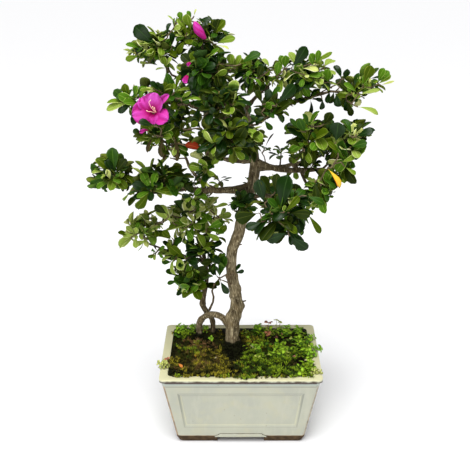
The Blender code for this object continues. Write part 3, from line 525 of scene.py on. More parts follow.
def layOutLimbs():
    limbs = {}
    for name, places in stemPlaces.items():
        curve = splineThrough(inMetres(places))
        limbs[name] = (curve[:, :3], curve[:, 3])
    for name, (parent, place, heading, rise, length, turn, lift, base, tip) in boughRows.items():
        start, _ = pointOn(limbs[parent], place if place < 1 else inMetres(place))
        points = boughPath(start, heading, rise, inMetres(length), turn, lift)
        limbs[name] = (points, np.linspace(*inMetres((base, tip)), len(points)))
    return limbs


limbs = layOutLimbs()

# bark

barkValues = {
    "trunk": {"around": 96, "step": 0.0011, "strips": 0.00048, "lumps": 0.0008, "nodes": 0.0, "wetTop": 0.007},
    "second_stem": {"around": 40, "step": 0.0012, "strips": 0.00016, "lumps": 0.0003, "nodes": 0.0005, "wetTop": 0.006},
    "arch_root": {"around": 40, "step": 0.0012, "strips": 0.00018, "lumps": 0.0004, "nodes": 0.0004, "wetTop": 0.006},
    "bough": {"around": 26, "step": 0.0014, "strips": 0.00017, "lumps": 0.00025, "nodes": 0.0005, "wetTop": 0.0},
    "stripWidth": 0.0011, "stripLength": 0.012, "twist": 9.0,
    "rootLobes": 5, "lobeDepth": 0.16, "flareTop": 0.014,
    # lumps of the trunk: height, heading in degrees, width, how far it stands out, how dark it is
    "knots": [
        (210, -110, 3.2, 0.4, 0.9), (164, -80, 5, -0.8, 1.0), (174, -95, 4.2, 1.3, 0.1), (156, -8, 4.2, 3, 0.35),
        (150, -100, 3.6, -0.4, 0.8), (179, -10, 3.4, 1.3, 0.3), (170, 185, 4.2, 1.6, 0.3),
        (138, 175, 6, 2.6, 0.2), (248, 20, 3.6, 1, 0.3), (292, 200, 3.4, 1.2, 0.3), (303, -60, 3.4, 1, 0.5),
        (195, 100, 4.5, 1.4, 0.5), (235, 160, 3.6, 1, 0.4), (148, 90, 5, 1.6, 0.5), (340, -100, 4, 1.2, 0.4)],
    # height and width of the two narrower rings that close a tip
    "tipRings": ((0.45, 0.82), (0.75, 0.5)),
    "finishes": {                # ridge, crack, lichen
        "stringyBark": ((0.235, 0.178, 0.092), (0.03, 0.02, 0.008), (0.4, 0.335, 0.205)),
        "boughBark": ((0.13, 0.096, 0.048), (0.02, 0.013, 0.006), (0.215, 0.175, 0.1))},
    # colour of the wet foot of the stems, and of the painted shade on the trunk up among the leaves
    "wetAndShade": (0.008, 0.008, 0.003),
}


def resample(points, radii, step):
    # the same curve at even short steps, smoothed through its places
    dense = splineThrough(np.column_stack([points, radii]), 12)
    runs = norm(np.diff(dense[:, :3], axis=0), axis=1)
    along = np.concatenate([[0], np.cumsum(runs)])
    places = np.linspace(0, along[-1], max(3, int(round(along[-1] / step)) + 1))
    return np.column_stack([np.interp(places, along, dense[:, k]) for k in range(4)]), places


def sweptBark(name, limb, values, flatFoot=False, seed=1):
    # a closed tube with stringy strips, lumps and nodes in its surface; "groove" is 1 in the cracks
    b = barkValues
    rows, along = resample(*limb, values["step"])
    middle, thickness, count = rows[:, :3], rows[:, 3], values["around"]
    tangents = np.gradient(middle, axis=0)
    if flatFoot:
        tangents[0] = (0, 0, 1)
    across = np.array([1.0, 0.0, 0.0]) if abs(unit(tangents[0])[0]) < 0.9 else np.array([0.0, 1.0, 0.0])
    angle = np.arange(count) * 2 * np.pi / count
    outward = []
    for tangent in tangents:
        tangent = unit(tangent)
        across = squareTo(across, tangent)
        outward.append(np.outer(np.cos(angle), across) + np.outer(np.sin(angle), np.cross(tangent, across)))
    outward = np.array(outward)
    rings, radius, flow = (np.repeat(part[:, None], count, axis=1) for part in (middle, thickness, along))
    turned = angle[None] + flow * b["twist"]

    def ringNoise(width, length, noiseSeed):
        places = [np.cos(turned) * radius / width, np.sin(turned) * radius / width, flow / length]
        return softNoise(np.column_stack([p.ravel() for p in places]), noiseSeed).reshape(radius.shape)

    width, length = b["stripWidth"], b["stripLength"]
    strips = 1 - np.abs(ringNoise(width, length, seed)) * 2
    fine = 1 - np.abs(ringNoise(width * 0.5, length * 0.45, seed + 7)) * 2
    lumps = ringNoise(width * 6, length * 0.9, seed + 13) + 0.5 * ringNoise(width * 3, length * 0.5, seed + 17)
    relief = values["strips"] * (0.75 * strips + 0.4 * fine) + values["lumps"] * lumps
    if values["nodes"]:
        spots = softNoise(np.column_stack([along / 0.007, along * 0, along * 0]), seed + 23)
        relief = relief + (np.clip(spots - 0.25, 0, 1) * 2.2 * values["nodes"])[:, None]
    groove = shareBetween(0.55 * strips + 0.35 * fine + 0.25 * lumps, 0.75, -0.35)
    if name == "trunk":
        fade = np.clip(1 - (rings[:, :, 2] - groundLevel) / b["flareTop"], 0, 1)
        facing = np.arctan2(outward[:, :, 1], outward[:, :, 0])
        radius = radius * (1 + b["lobeDepth"] * fade * np.cos(b["rootLobes"] * angle[None] + 0.7))
        for z, heading, size, out, dark in b["knots"]:
            z, size, out = inMetres((z, size, out))
            apart = (facing - radians(heading) + np.pi) % (2 * np.pi) - np.pi
            spot = np.exp(-((rings[:, :, 2] - z) / size) ** 2 - (apart * radius / size) ** 2)
            relief = relief + out * spot
            groove = np.clip(groove + (dark - 0.35) * spot, 0, 1)
    if not flatFoot:         # swells where it joins
        radius = radius * (1 + (np.exp(-along / 0.0045) * 0.45)[:, None])
    surface = rings + outward * (radius + relief)[..., None]
    if flatFoot:
        surface[0, :, 2] = groundLevel - 0.0015
    if name != "trunk":      # the trunk's tip is hidden
        extra = [middle[-1] + unit(tangents[-1]) * thickness[-1] * push + outward[-1] * thickness[-1] * share
                 for push, share in b["tipRings"]]
        surface = np.concatenate([surface, np.array(extra)])
        groove = np.concatenate([groove, groove[-1:], groove[-1:]])
    vertices = surface.reshape(-1, 3)
    wetAndShade = np.zeros(len(vertices))
    if values["wetTop"]:
        top = groundLevel + values["wetTop"]
        wetAndShade = shareBetween(vertices[:, 2] + 0.0016 * softNoise(vertices * 260, seed + 31), top + 0.001, top - 0.001)
    if name == "trunk":      # painted shade: the bark is darker up among the leaves, where the crown shades it
        z = vertices[:, 2]
        wetAndShade = np.maximum(wetAndShade, 0.1 * shareBetween(z, 0.13, 0.17) + 0.2 * shareBetween(z, 0.23, 0.3))
    return vertices, tubeFaces(count, len(surface)), groove.ravel(), wetAndShade


def barkFinish(name, ridge, crack, lichen):
    pale = tuple(min(1, c * 1.45) for c in lichen)
    dull = tuple(0.3 * a + 0.7 * b for a, b in zip(ridge, crack))
    # the last layer darkens the wet foot and paints shade on the trunk up among the leaves
    return layeredMaterial(name, ridge, 0.88, [
        ((95, 3.0), lichen), ("groove", crack), ((700, 3.0, (1, 1, 0.25), 0.56, 0.68), pale),
        ((800, 3.0, (1, 1, 0.14), 0.45, 0.66), dull), ("wetAndShade", barkValues["wetAndShade"])],
        ((2600, 2.0, (1, 1, 0.2)), 0.35, 0.0002))


def makeBark():
    stringy, fine = (barkFinish(name, *colours) for name, colours in barkValues["finishes"].items())
    for name, title, finish, seed in (
            ("trunk", "trunkBark", stringy, 3), ("second_stem", "secondStemBark", fine, 11),
            ("arch_root", "archRootBark", stringy, 19)):
        part = sweptBark(name, limbs[name], barkValues[name], True, seed)
        finishPiece(joinParts(title, [part], ("groove", "wetAndShade"), finish), [name])
    parts = [sweptBark(name, limbs[name], barkValues["bough"], seed=31 + 5 * k) for k, name in enumerate(boughRows)]
    finishPiece(joinParts("boughBark", parts, ("groove", "wetAndShade"), fine), boughNodes)
    print("bark is on the trunk, stems and boughs")


# leaves, twigs and sprays

# for each leaves_ node: limb, height on it, middle and half sizes of the space, shoots, leaf length, seed; then the
# shares of deep, mid, fresh and young leaves, the scale of its leaves, the share of its finer twigs, and where the
# sky shows beside it: place in the picture and heading in degrees
massRows = {
    "apex": ("apex", None, (-51, 6, 500), (47, 36, 29), 5, 32, 114, (4, 3, 4, 2), 0.92, 1.0, []),
    "apex_low": ("trunk", 424, (-42, -22, 466), (40, 34, 28), 4, 33, 20, (7, 3, 2, 0), 1.12, 1.0, []),
    "top_left": ("upper_left", None, (-100, -8, 486), (38, 36, 33), 4, 33, 10,
        (2, 3, 4, 3), 1.0, 1.0, [(146, 63, -100)]),
    "bloom_high": ("bloom_high", None, (-103, -42, 438), (52, 40, 30), 4, 33, 110,
        (3, 3, 3, 2), 1.0, 1.0, [(124, 107, -150), (142, 84, 110)]),
    "bloom_low": ("bloom_low", None, (-90, -30, 389), (44, 40, 30), 4, 33, 15,
        (4, 4, 2, 1), 1.0, 1.0, [(150, 147, -110)]),
    "centre_upper": ("trunk", 408, (-22, -45, 433), (40, 40, 29), 4, 34, 119, (7, 3, 1, 1), 1.12, 1.0, []),
    "centre": ("front_mid", None, (-12, -62, 396), (48, 42, 32), 5, 36, 107,
        (7, 3, 1, 1), 1.14, 1.0, [(236, 159, -95)]),
    "shoulder": ("shoulder", None, (16, 16, 458), (33, 36, 31), 4, 32, 20, (3, 3, 4, 1), 1.0, 1.0, [(262, 58, 50)]),
    "upper_right": ("right_crown", None, (70, 2, 458), (47, 38, 31), 5, 33, 115,
        (2, 3, 5, 2), 1.0, 1.0, [(306, 101, -75)]),
    "far_right": ("upper_right", None, (144, 36, 429), (42, 40, 36), 5, 33, 9,
        (2, 3, 5, 2), 1.0, 1.0, [(379, 98, -25), (352, 72, 105), (367, 95, -65)]),
    "inner_right": ("trunk", 395, (37, -28, 419), (34, 36, 30), 3, 34, 17, (6, 4, 2, 0), 1.0, 0.8, [(288, 111, -70)]),
    "right_mid": ("right_up", None, (79, -6, 384), (32, 36, 34), 4, 33, 119,
        (3, 4, 3, 1), 1.22, 0.8, [(286, 130, 180)]),
    "right_outer": ("right", None, (129, 2, 371), (35, 40, 43), 5, 33, 106, (3, 4, 3, 2), 1.24, 0.8, [(361, 152, -25)]),
    "right_hanging": ("right_hang", None, (98, -22, 324), (28, 32, 32), 4, 33, 5,
        (2, 4, 3, 2), 1.0, 0.7, [(332, 194, -30)]),
    "front_low": ("front_low", None, (48, -58, 307), (50, 44, 49), 6, 40, 101,
        (5, 4, 2, 1), 0.92, 0.6, [(283, 244, -90), (306, 226, -25)]),
    "trunk_tuft": ("trunk", 290, (0, -14, 304), (22, 26, 27), 2, 29, 15,
        (5, 4, 1, 0), 1.0, 1.0, [(229, 205, 180), (234, 210, -120)]),
    "far_left": ("left_tip", None, (-152, -5, 340), (33, 34, 29), 4, 31, 19,
        (4, 4, 2, 1), 1.16, 1.0, [(112, 190, -90)]),
    "left_mid": ("left_low", None, (-100, -18, 327), (42, 40, 37), 5, 33, 4, (4, 4, 2, 2), 1.2, 1.0, [(158, 195, -85)]),
    "centre_left": ("mid_left", None, (-37, -26, 361), (30, 34, 28), 3, 29, 101, (2, 3, 3, 2), 1.0, 0.5, []),
    "stem_top": ("second_stem", None, (-59, 40, 268), (51, 42, 36), 5, 31, 106, (0, 2, 5, 6), 1.12, 0.9, []),
    "stem_tip_left": ("lower_left", None, (-125, 20, 262), (36, 34, 29), 4, 31, 3,
        (0, 2, 5, 6), 1.0, 1.0, [(132, 222, 140)]),
    "stem_mid": ("second_stem", 212, (-54, 24, 224), (46, 36, 31), 4, 31, 13, (3, 4, 3, 2), 1.25, 0.7, []),
    "stem_low": ("second_stem", 162, (-68, 40, 178), (37, 36, 30), 4, 30, 19,
        (2, 5, 3, 1), 1.32, 0.7, [(177, 284, 190), (188, 295, -95)]),
    "trunk_twig": ("trunk", 190, (-20, 2, 208), (24, 22, 22), 0, 21, 14, (4, 4, 2, 0), 1.0, 0.5, []),
    "back_low_left": ("back_low_left", None, (-88, 66, 307), (42, 38, 34), 4, 33, 14,
        (4, 4, 2, 1), 1.0, 1.0, [(172, 189, -90)]),
    "back_low_right": ("back_low_right", None, (62, 74, 276), (38, 34, 34), 4, 33, 1, (4, 4, 2, 1), 1.0, 1.0, []),
    "back_centre": ("back_centre", None, (-10, 75, 380), (44, 32, 36), 4, 33, 118, (4, 4, 2, 1), 1.0, 1.0, []),
    "back_left": ("back_left", None, (-92, 52, 402), (44, 38, 34), 4, 33, 4, (4, 4, 2, 1), 1.0, 1.0, [(152, 88, 110)]),
    "back_right": ("back_right", None, (126, 68, 357), (40, 36, 36), 4, 33, 16,
        (4, 4, 2, 1), 1.0, 1.0, [(346, 160, -35)]),
    "back_top": ("back_top", None, (-36, 54, 450), (40, 34, 32), 4, 32, 1, (4, 4, 2, 1), 1.0, 1.0, []),
}

leafValues = {
    "rows": (0.0, 0.1, 0.25, 0.43, 0.61, 0.78, 0.91, 1.0),
    "halfWidths": (0.035, 0.055, 0.3, 0.66, 0.93, 1.0, 0.72, 0.16),
    "width": 0.45,               # of the length
    "rib": 0.05,                 # half width of the midrib, of the half width
    "margin": 0.86,              # where the pale margin begins, of the half width
    "thickness": 0.022,
    # arch at the foot and at the tip in degrees, cupping, wave of the margin, width
    "shapes": [(16, -22, 0.18, 0.05, 1.0), (8, -34, 0.1, 0.07, 0.92), (22, 2, 0.38, 0.04, 1.0),
               (14, -52, -0.12, 0.09, 0.86), (4, -12, 0.22, 0.12, 1.08), (20, -66, 0.5, 0.05, 0.8)],
    "mainScale": 0.8,            # of the source's leaf length, at the ends of its shoots
    "finerScale": 0.61,          # at the ends of the finer twigs
    "finerShare": 2.0,           # finer twigs for each shoot
    "largeShare": 0.1,           # of the leaves that grow large
    "largeScale": 1.32,
    "reachUp": 0.4,              # how far a rosette turns up from its twig
    "seedStep": 1000,
    "goldenTurn": radians(137.5),
}

tintFinishes = {             # blade, underside, rib, margin, roughness, gloss
    "deepA": ((0.0058, 0.0225, 0.0014), (0.034, 0.078, 0.013), (0.022, 0.056, 0.009), (0.012, 0.036, 0.004), 0.3, 0.16),
    "deepB": ((0.0145, 0.0265, 0.0012), (0.07, 0.092, 0.014), (0.054, 0.072, 0.01), (0.042, 0.058, 0.004), 0.38, 0.06),
    "midA": ((0.0195, 0.062, 0.0028), (0.072, 0.14, 0.018), (0.064, 0.138, 0.014), (0.056, 0.125, 0.01), 0.35, 0.08),
    "midB": ((0.05, 0.085, 0.0022), (0.13, 0.165, 0.02), (0.135, 0.172, 0.018), (0.15, 0.19, 0.018), 0.4, 0.03),
    "freshA": ((0.06, 0.145, 0.006), (0.14, 0.245, 0.028), (0.18, 0.3, 0.036), (0.23, 0.345, 0.055), 0.4, 0.04),
    "freshB": ((0.125, 0.205, 0.014), (0.22, 0.3, 0.04), (0.27, 0.35, 0.06), (0.38, 0.44, 0.12), 0.42, 0.04),
    "youngA": ((0.225, 0.31, 0.048), (0.34, 0.41, 0.09), (0.41, 0.47, 0.13), (0.54, 0.58, 0.24), 0.44, 0.04),
    "youngB": ((0.46, 0.51, 0.14), (0.51, 0.54, 0.2), (0.56, 0.59, 0.24), (0.72, 0.73, 0.44), 0.46, 0.04),
    "brownLeaf": ((0.042, 0.034, 0.012), (0.09, 0.07, 0.03), (0.1, 0.08, 0.035), (0.11, 0.07, 0.025), 0.5, 0.05),
    "yellowLeaf": ((0.74, 0.49, 0.035), (0.7, 0.44, 0.06), (0.76, 0.56, 0.1), (0.8, 0.26, 0.02), 0.45, 0.1),
    "redLeaf": ((0.14, 0.015, 0.004), (0.18, 0.034, 0.01), (0.25, 0.05, 0.014), (0.09, 0.012, 0.006), 0.45, 0.05),
}
tintLadder = [("deepA", "deepB"), ("midA", "midB"), ("freshA", "freshB"), ("youngA", "youngB")]

twigValues = {
    "stem": 0.0017, "twig": 0.0012, "tip": 0.0007, "fork": 0.0009, "sides": 6, "room": 0.0015,
    "bark": (0.12, 0.085, 0.045), "barkDark": (0.085, 0.06, 0.035), "barkLight": (0.17, 0.125, 0.07),
    "budScales": (0.3, 0.26, 0.07), "budLength": 0.0034,
    # dead stubs: lowest place, share of places without one on the trunk and on a bough, length, thickness
    "stubFoot": 0.13, "stubGaps": (0.55, 0.25), "stubLength": (0.002, 0.0058), "stubThick": 0.0013,
}


def layOutSpaces():
    spaces = {}
    for name, (_, _, centre, radii, *_, trims) in massRows.items():
        centre, radii, planes = inMetres(centre), inMetres(radii), []
        for other, (_, _, theirCentre, theirRadii, *_) in massRows.items():
            if other == name:
                continue
            apart = inMetres(theirCentre) - centre
            distance = norm(apart)
            normal = apart / distance
            mine, theirs = (float(norm(size * normal)) for size in (radii, inMetres(theirRadii)))
            if mine + theirs > distance:
                planes.append((normal, normal @ centre + distance * mine / (mine + theirs) - 0.0004, 2.0))
        for across, down, heading in trims:
            h = radians(heading)
            normal = np.array([cos(h), 0, 0]) + sin(h) * pictureUp
            planes.append((normal, normal @ seenAt(across, down, centre[1] * 1000), 0.4))
        spaces[name] = (centre, radii, planes)
    return spaces


def isInside(points, space, slack=0.0):
    centre, radii, planes = space
    points = np.atleast_2d(points)
    if np.any(np.sum(((points - centre) / (radii + slack)) ** 2, axis=1) > 1):
        return False
    return all(np.all(points @ normal <= limit + slack * give) for normal, limit, give in planes)


def freeDistance(points, segments):
    starts, ends, radii = segments
    points = np.atleast_2d(points)[:, None, :]
    runs = ends - starts
    t = np.sum((points - starts) * runs, axis=2) / np.sum(runs * runs, axis=1)
    nearest = starts + np.clip(t, 0, 1)[..., None] * runs
    return float(np.min(norm(points - nearest, axis=2) - radii))


def segmentsOf(paths):
    starts = np.vstack([points[:-1] for points, _ in paths])
    ends = np.vstack([points[1:] for points, _ in paths])
    radii = np.concatenate([np.maximum(r[:-1], r[1:]) for _, r in paths])
    return starts, ends, radii


def bendTwig(start, startDirection, end, endDirection, count=2):
    reach = norm(end - start)
    t = np.linspace(0, 1, count + 1)[:, None]
    return ((2 * t ** 3 - 3 * t ** 2 + 1) * start + (t ** 3 - 2 * t ** 2 + t) * startDirection * reach
            + (3 * t ** 2 - 2 * t ** 3) * end + (t ** 3 - t ** 2) * endDirection * reach)


def massStem(name):
    parent, place, centre, *_ = massRows[name]
    centre = inMetres(centre)
    points, radii = limbs[parent]
    if place is None:
        direction = unit(points[-1] - points[-2])
        start = points[-1] + direction * clearance
        radius = min(twigValues["stem"], float(radii[-1]))
    else:
        place = inMetres(place)
        middle, thickness = pointOn(limbs[parent], place)
        along = unit(pointOn(limbs[parent], place + 0.004)[0] - middle)
        out = centre - middle
        direction = squareTo(out, along)
        start = middle + direction * (thickness + clearance)
        radius = twigValues["stem"] * 0.8
    end = start + (centre - start) * 0.8
    path = bendTwig(start, direction, end, unit(centre - start), 4)
    path[1] = start + direction * norm(path[1] - start)
    return path, np.linspace(radius, twigValues["twig"], len(path))


def spreadDirections(count, turn):
    k = np.arange(count)
    z = 1 - 2 * (k + 0.5) / count
    angle = k * leafValues["goldenTurn"] + turn
    return np.stack([np.sqrt(1 - z ** 2) * np.cos(angle), np.sqrt(1 - z ** 2) * np.sin(angle), z], axis=1)


def growShoot(target, axis, forks, space, obstacles):
    # the fork it leaves most easily, with its direction, and the shoot's end
    def effort(fork):
        run = target - fork[0]
        distance = norm(run) + 1e-6
        return distance * (1.35 - 0.5 * (run @ fork[1]) / distance)
    room = twigValues["twig"] + twigValues["room"]
    for pull in (1.0, 0.8, 0.6):
        for point, direction in sorted(forks, key=effort)[:3]:
            end = point + (target - point) * pull
            if norm(end - point) < 0.006:
                continue
            leaving = unit(direction + unit(end - point))
            path = bendTwig(point, leaving, end, axis)
            checked = np.vstack([path[0] + (path[1] - path[0]) * 0.5, path[1:]])
            if isInside(path[1:], space) and freeDistance(checked, obstacles) > room:
                return path, bendTwig(point, leaving, end, axis, 7)
    return None


class Growth:
    # twigs and leaves of the whole plant, gathered before they are made
    def __init__(self):
        self.twigs, self.tips = [], []
        self.leaves = {tint: [] for tint in tintFinishes}

    def addLeaf(self, tint, root, along, facing, length, width, shape):
        turn = turnOf(along, np.cross(facing, along), facing)
        self.leaves[tint].append((root, turn, (length, length * width, length), shape))

    def addTwig(self, path, *thickness):
        self.twigs.append((path, np.linspace(*thickness, len(path))))

    def nearest(self, cost):
        return min((point for path, _ in self.twigs for point in path), key=cost)


def tintOf(shares, rng, lighterStep=0):
    shares = np.array(shares, float)
    step = int(rng.choice(4, p=shares / shares.sum()))
    return tintLadder[max(0, min(3, step + lighterStep))][int(rng.integers(2))]


def inBloom(points):
    # whether any of the places lies in the room of the open bloom
    forward = unit(bloomValues["facing"])
    apart = np.atleast_2d(points) - np.array(bloomValues["throat"]) - forward * 0.003
    ahead = apart @ forward
    aside = norm(apart - ahead[:, None] * forward, axis=1)
    return bool(np.any((aside / bloomValues["room"][0]) ** 2 + (ahead / bloomValues["room"][1]) ** 2 < 1))


def placeLeaf(growth, tint, root, axis, side, opening, reach, roll, space, obstacles, shape, slack=0.002):
    # tries the leaf as it is, then tilted or smaller, and leaves it out where it has no room
    for change, size in ((0, 1.0), (16, 1.0), (-16, 1.0), (0, 0.8), (10, 0.64)):
        tilt = radians(opening + change)
        along = axis * cos(tilt) + side * sin(tilt)
        facing = axis * sin(tilt) - side * cos(tilt) + np.array([0, 0, 0.4])
        facing = squareTo(facing, along)
        facing = unit(facing + np.cross(along, facing) * roll)
        wide = np.cross(facing, along) * reach * size * leafValues["width"] * 0.5
        middle = root + along * reach * size * 0.75
        corners = np.array([root + along * reach * size, middle + wide, middle - wide])
        drooping = root + reach * size * (np.outer((0.3, 0.55, 0.85), along) - np.outer((0, 0.1, 0.28), facing))
        if (isInside(corners, space, slack) and freeDistance(corners, obstacles) > 0.0006
                and not inBloom(np.vstack([corners, drooping]))):
            growth.addLeaf(tint, root, along, facing, reach * size, 1.0, shape)
            return


def anyShape(rng):
    return int(rng.integers(len(leafValues["shapes"])))


def growRosette(growth, foot, axis, leaf, shares, rng, space, obstacles, outer=5, inner=3):
    # leaves by turns round the end of a twig: spread ones outside, upright younger ones inside
    across = unit(np.cross(axis, (0.31, 0.9, 0.12)))
    other = np.cross(axis, across)
    phase = rng.uniform(0, 2 * pi)
    leaf = leaf * rng.uniform(0.84, 1.14)
    slack = rng.uniform(0.001, 0.008)
    depth = float(norm((foot - space[0]) / space[1]))
    lighterStep = 0
    if space[1][0] < 1:      # younger, lighter leaves outside and older, deeper ones inside; the deeper tints inside are also painted shade within the crown
        lighterStep = int(depth > 0.72 and rng.uniform() < 0.35) - int(depth < 0.55 and rng.uniform() < 0.6)
    tint = tintOf(shares, rng, lighterStep)
    rows = [("outer", rng.uniform(48, 92), rng.uniform(0.8, 1.1), -rng.uniform(0.001, 0.006)) for _ in range(outer)]
    rows += [("inner", rng.uniform(24, 60), rng.uniform(0.55, 0.86), 0.0) for _ in range(inner)]
    rows += [("tip", rng.uniform(6, 28), rng.uniform(0.26, 0.44), 0.0008)]
    for k, (ring, opening, length, back) in enumerate(rows):
        angle = phase + k * leafValues["goldenTurn"] + rng.uniform(-0.35, 0.35)
        side = cos(angle) * across + sin(angle) * other
        roll = rng.uniform(-0.45, 0.45)
        shape = anyShape(rng)
        here = tint if rng.uniform() < 0.6 else tintOf(shares, rng, lighterStep)
        if ring == "tip" or (ring == "inner" and rng.uniform() < 0.45):
            here = tintOf(shares, rng, lighterStep + 1)
        if ring == "outer" and rng.uniform() < leafValues["largeShare"]:
            length *= leafValues["largeScale"]
        root = foot + axis * back + side * 0.0006
        placeLeaf(growth, here, root, axis, side, opening, leaf * length, roll, space, obstacles, shape, slack)
    growth.tips.append((foot + axis * 0.0008, axis, twigValues["budLength"] * rng.uniform(0.7, 1.2)))


def growStemLeaves(growth, path, leaf, shares, rng, space, obstacles):
    # a few leaves one after another along the last part of a twig
    for share in (0.5, 0.66, 0.82):
        if rng.uniform() < 0.3:
            continue
        at = share * (len(path) - 1)
        k = int(at)
        axis = unit(path[k + 1] - path[k])
        across = unit(np.cross(axis, rng.normal(0, 1, 3)))
        root = path[k] + (path[k + 1] - path[k]) * (at - k) + across * 0.0006
        placeLeaf(growth, tintOf(shares, rng), root, axis, across, rng.uniform(38, 84),
                  leaf * rng.uniform(0.62, 0.95), rng.uniform(-0.4, 0.4), space, obstacles, anyShape(rng))


def growMass(growth, name, space, stem, obstacles):
    _, _, _, _, shoots, leaf, seed, shares, leafScale, finerShare, _ = massRows[name]
    leaf = inMetres(leaf)
    rng = np.random.default_rng(seed)
    centre, radii, _ = space
    path, _ = stem
    growth.twigs.append(stem)
    forks = [(path[k], unit(path[k] - path[k - 1])) for k in range(2, len(path))]
    reach = np.maximum(radii - 0.7 * leaf, 0.34 * radii)
    targets = [(d, centre + d * reach * rng.uniform(0.86, 1.0)) for d in spreadDirections(shoots, rng.uniform(0, 6.28))]
    targets.sort(key=lambda pair: norm(pair[1] - path[-1]))
    ends = []
    for outward, target in targets:
        axis = unit(outward * 0.8 + np.array([0, 0, 0.45]) + rng.normal(0, 0.18, 3))
        found = growShoot(target, axis, forks, space, obstacles)
        if found is not None:
            shoot, fine = found
            forks += [(shoot[k], unit(shoot[k + 1] - shoot[k - 1])) for k in range(1, len(shoot) - 1)]
            ends.append((fine, axis, True))
    finer = np.random.default_rng(seed + leafValues["seedStep"])
    forks += [(fine[k], unit(fine[k + 1] - fine[k - 1])) for fine, *_ in ends for k in (2, 5)]
    room = radii - 0.42 * leaf
    for outward in spreadDirections(round(shoots * leafValues["finerShare"] * finerShare), finer.uniform(0, 6.28)):
        axis = unit(outward * 0.8 + np.array([0, 0, 0.4]) + finer.normal(0, 0.34, 3))
        found = growShoot(centre + outward * room * finer.uniform(0.4, 1.0), axis, forks, space, obstacles)
        if found is not None:
            ends.append((found[1], axis, False))
    leaf = leaf * leafScale
    for fine, axis, main in ends:
        if inBloom(fine[-2:]):
            continue
        scale = leafValues["mainScale" if main else "finerScale"]
        growth.addTwig(fine, twigValues["twig" if main else "fork"], twigValues["tip"])
        growRosette(growth, fine[-1], unit(axis + np.array([0, 0, leafValues["reachUp"]])), leaf * scale, shares,
                    finer, space, obstacles, 5 if main else 4, 3 if main else 2)
        growStemLeaves(growth, fine, leaf * scale, shares, finer, space, obstacles)


def growStubs(growth):
    # short dead stubs along the bare limbs
    rng, v = np.random.default_rng(5), twigValues
    for name, (points, radii) in limbs.items():
        for k in range(1, len(points) - 1):
            if name == "arch_root" or points[k, 2] < v["stubFoot"] or rng.uniform() < v["stubGaps"][name != "trunk"]:
                continue
            along = unit(points[k + 1] - points[k - 1])
            out = unit(np.cross(along, rng.normal(0, 1, 3)))
            foot = points[k] + (points[k + 1] - points[k]) * rng.uniform(0, 0.9)
            length = rng.uniform(*v["stubLength"])
            thick = min(v["stubThick"], radii[k] * 0.55) * rng.uniform(0.6, 1.0)
            start = foot + out * radii[k] * 0.6
            path = np.array([start, start + out * (radii[k] * 0.4 + length * 0.5) + along * length * 0.1,
                             start + out * (radii[k] * 0.4 + length) + along * length * rng.uniform(0.1, 0.6)])
            growth.twigs.append((path, np.array([1.15, 0.85, 0.6]) * thick))


plainLeaves = {              # leaves seen singly, each on a twig of its own: foot, tip, width, shape
    "deepA": [
        ((46, -78, 320), (49, -80, 361), 1.2, 0), ((36, -80, 315), (10, -86, 299), 1.2, 1),
        ((50, -76, 299), (74.5, -82, 274.5), 1.05, 1), ((26, -70, 325), (18, -74, 353), 1.0, 4),
        ((-7, 10, 205.5), (3.5, 5, 209.5), 1.1, 1), ((-7, 10, 206), (-1, 6, 219), 0.95, 0),
        ((-26.1, 20, 190), (-16.1, 10, 176.3), 1.0, 0), ((-94.5, -80, 416.5), (-111.8, -85, 420), 1.15, 2),
        ((-95, -16, 493), (-118.5, -20, 514), 1.2, 0)],
    "deepB": [
        ((19, -79, 316.5), (-6, -83, 310), 1.25, 4), ((54, -78, 316.5), (78, -82, 317.5), 1.05, 2),
        ((-30.4, 20, 197), (-36.7, 15, 207.8), 1.05, 0), ((-27.5, 20, 192.5), (-31.1, 11, 185.9), 1.2, 2),
        ((-31, -10, 502), (-24.5, -12, 520.5), 1.6, 4), ((-89.5, -2, 288.5), (-104, -6, 300), 1.2, 0)],
    "midA": [
        ((-26.7, 18, 196.1), (-24, 8, 226.3), 0.95, 1), ((73.5, -68, 333), (93, -74, 326), 0.9, 0),
        ((43, -82, 318), (30, -90, 337), 0.9, 0), ((-159, -8, 337), (-179.5, -12, 326.5), 1.1, 0),
        ((93.5, -28, 335), (98.5, -32, 313), 0.8, 1)],
    "midB": [
        ((42, -83, 307.5), (60, -89, 293), 1.05, 2), ((75.5, -60, 309), (94.5, -64, 284.5), 0.6, 1),
        ((48, -83, 319), (64, -90, 338), 0.8, 5), ((-107, -28, 327), (-122, -32, 301), 1.0, 1)],
    "freshB": [
        ((3, -69, 412), (22, -86, 402), 1.1, 0), ((47, -83, 320), (47, -93, 329), 0.9, 0),
        ((-56, -8, 508), (-59, -12, 528), 1.3, 2), ((-62, -8, 506), (-70, -12, 522), 1.2, 0)],
    "youngA": [
        ((-128, 18, 258), (-154, 14, 240), 0.8, 0)],
    "brownLeaf": [
        ((-88, -48, 396), (-93, -62, 377), 0.9, 3), ((-76, -44, 394), (-69, -56, 374), 0.8, 5),
        ((-98, -52, 398), (-108, -64, 385), 0.8, 1)],
}

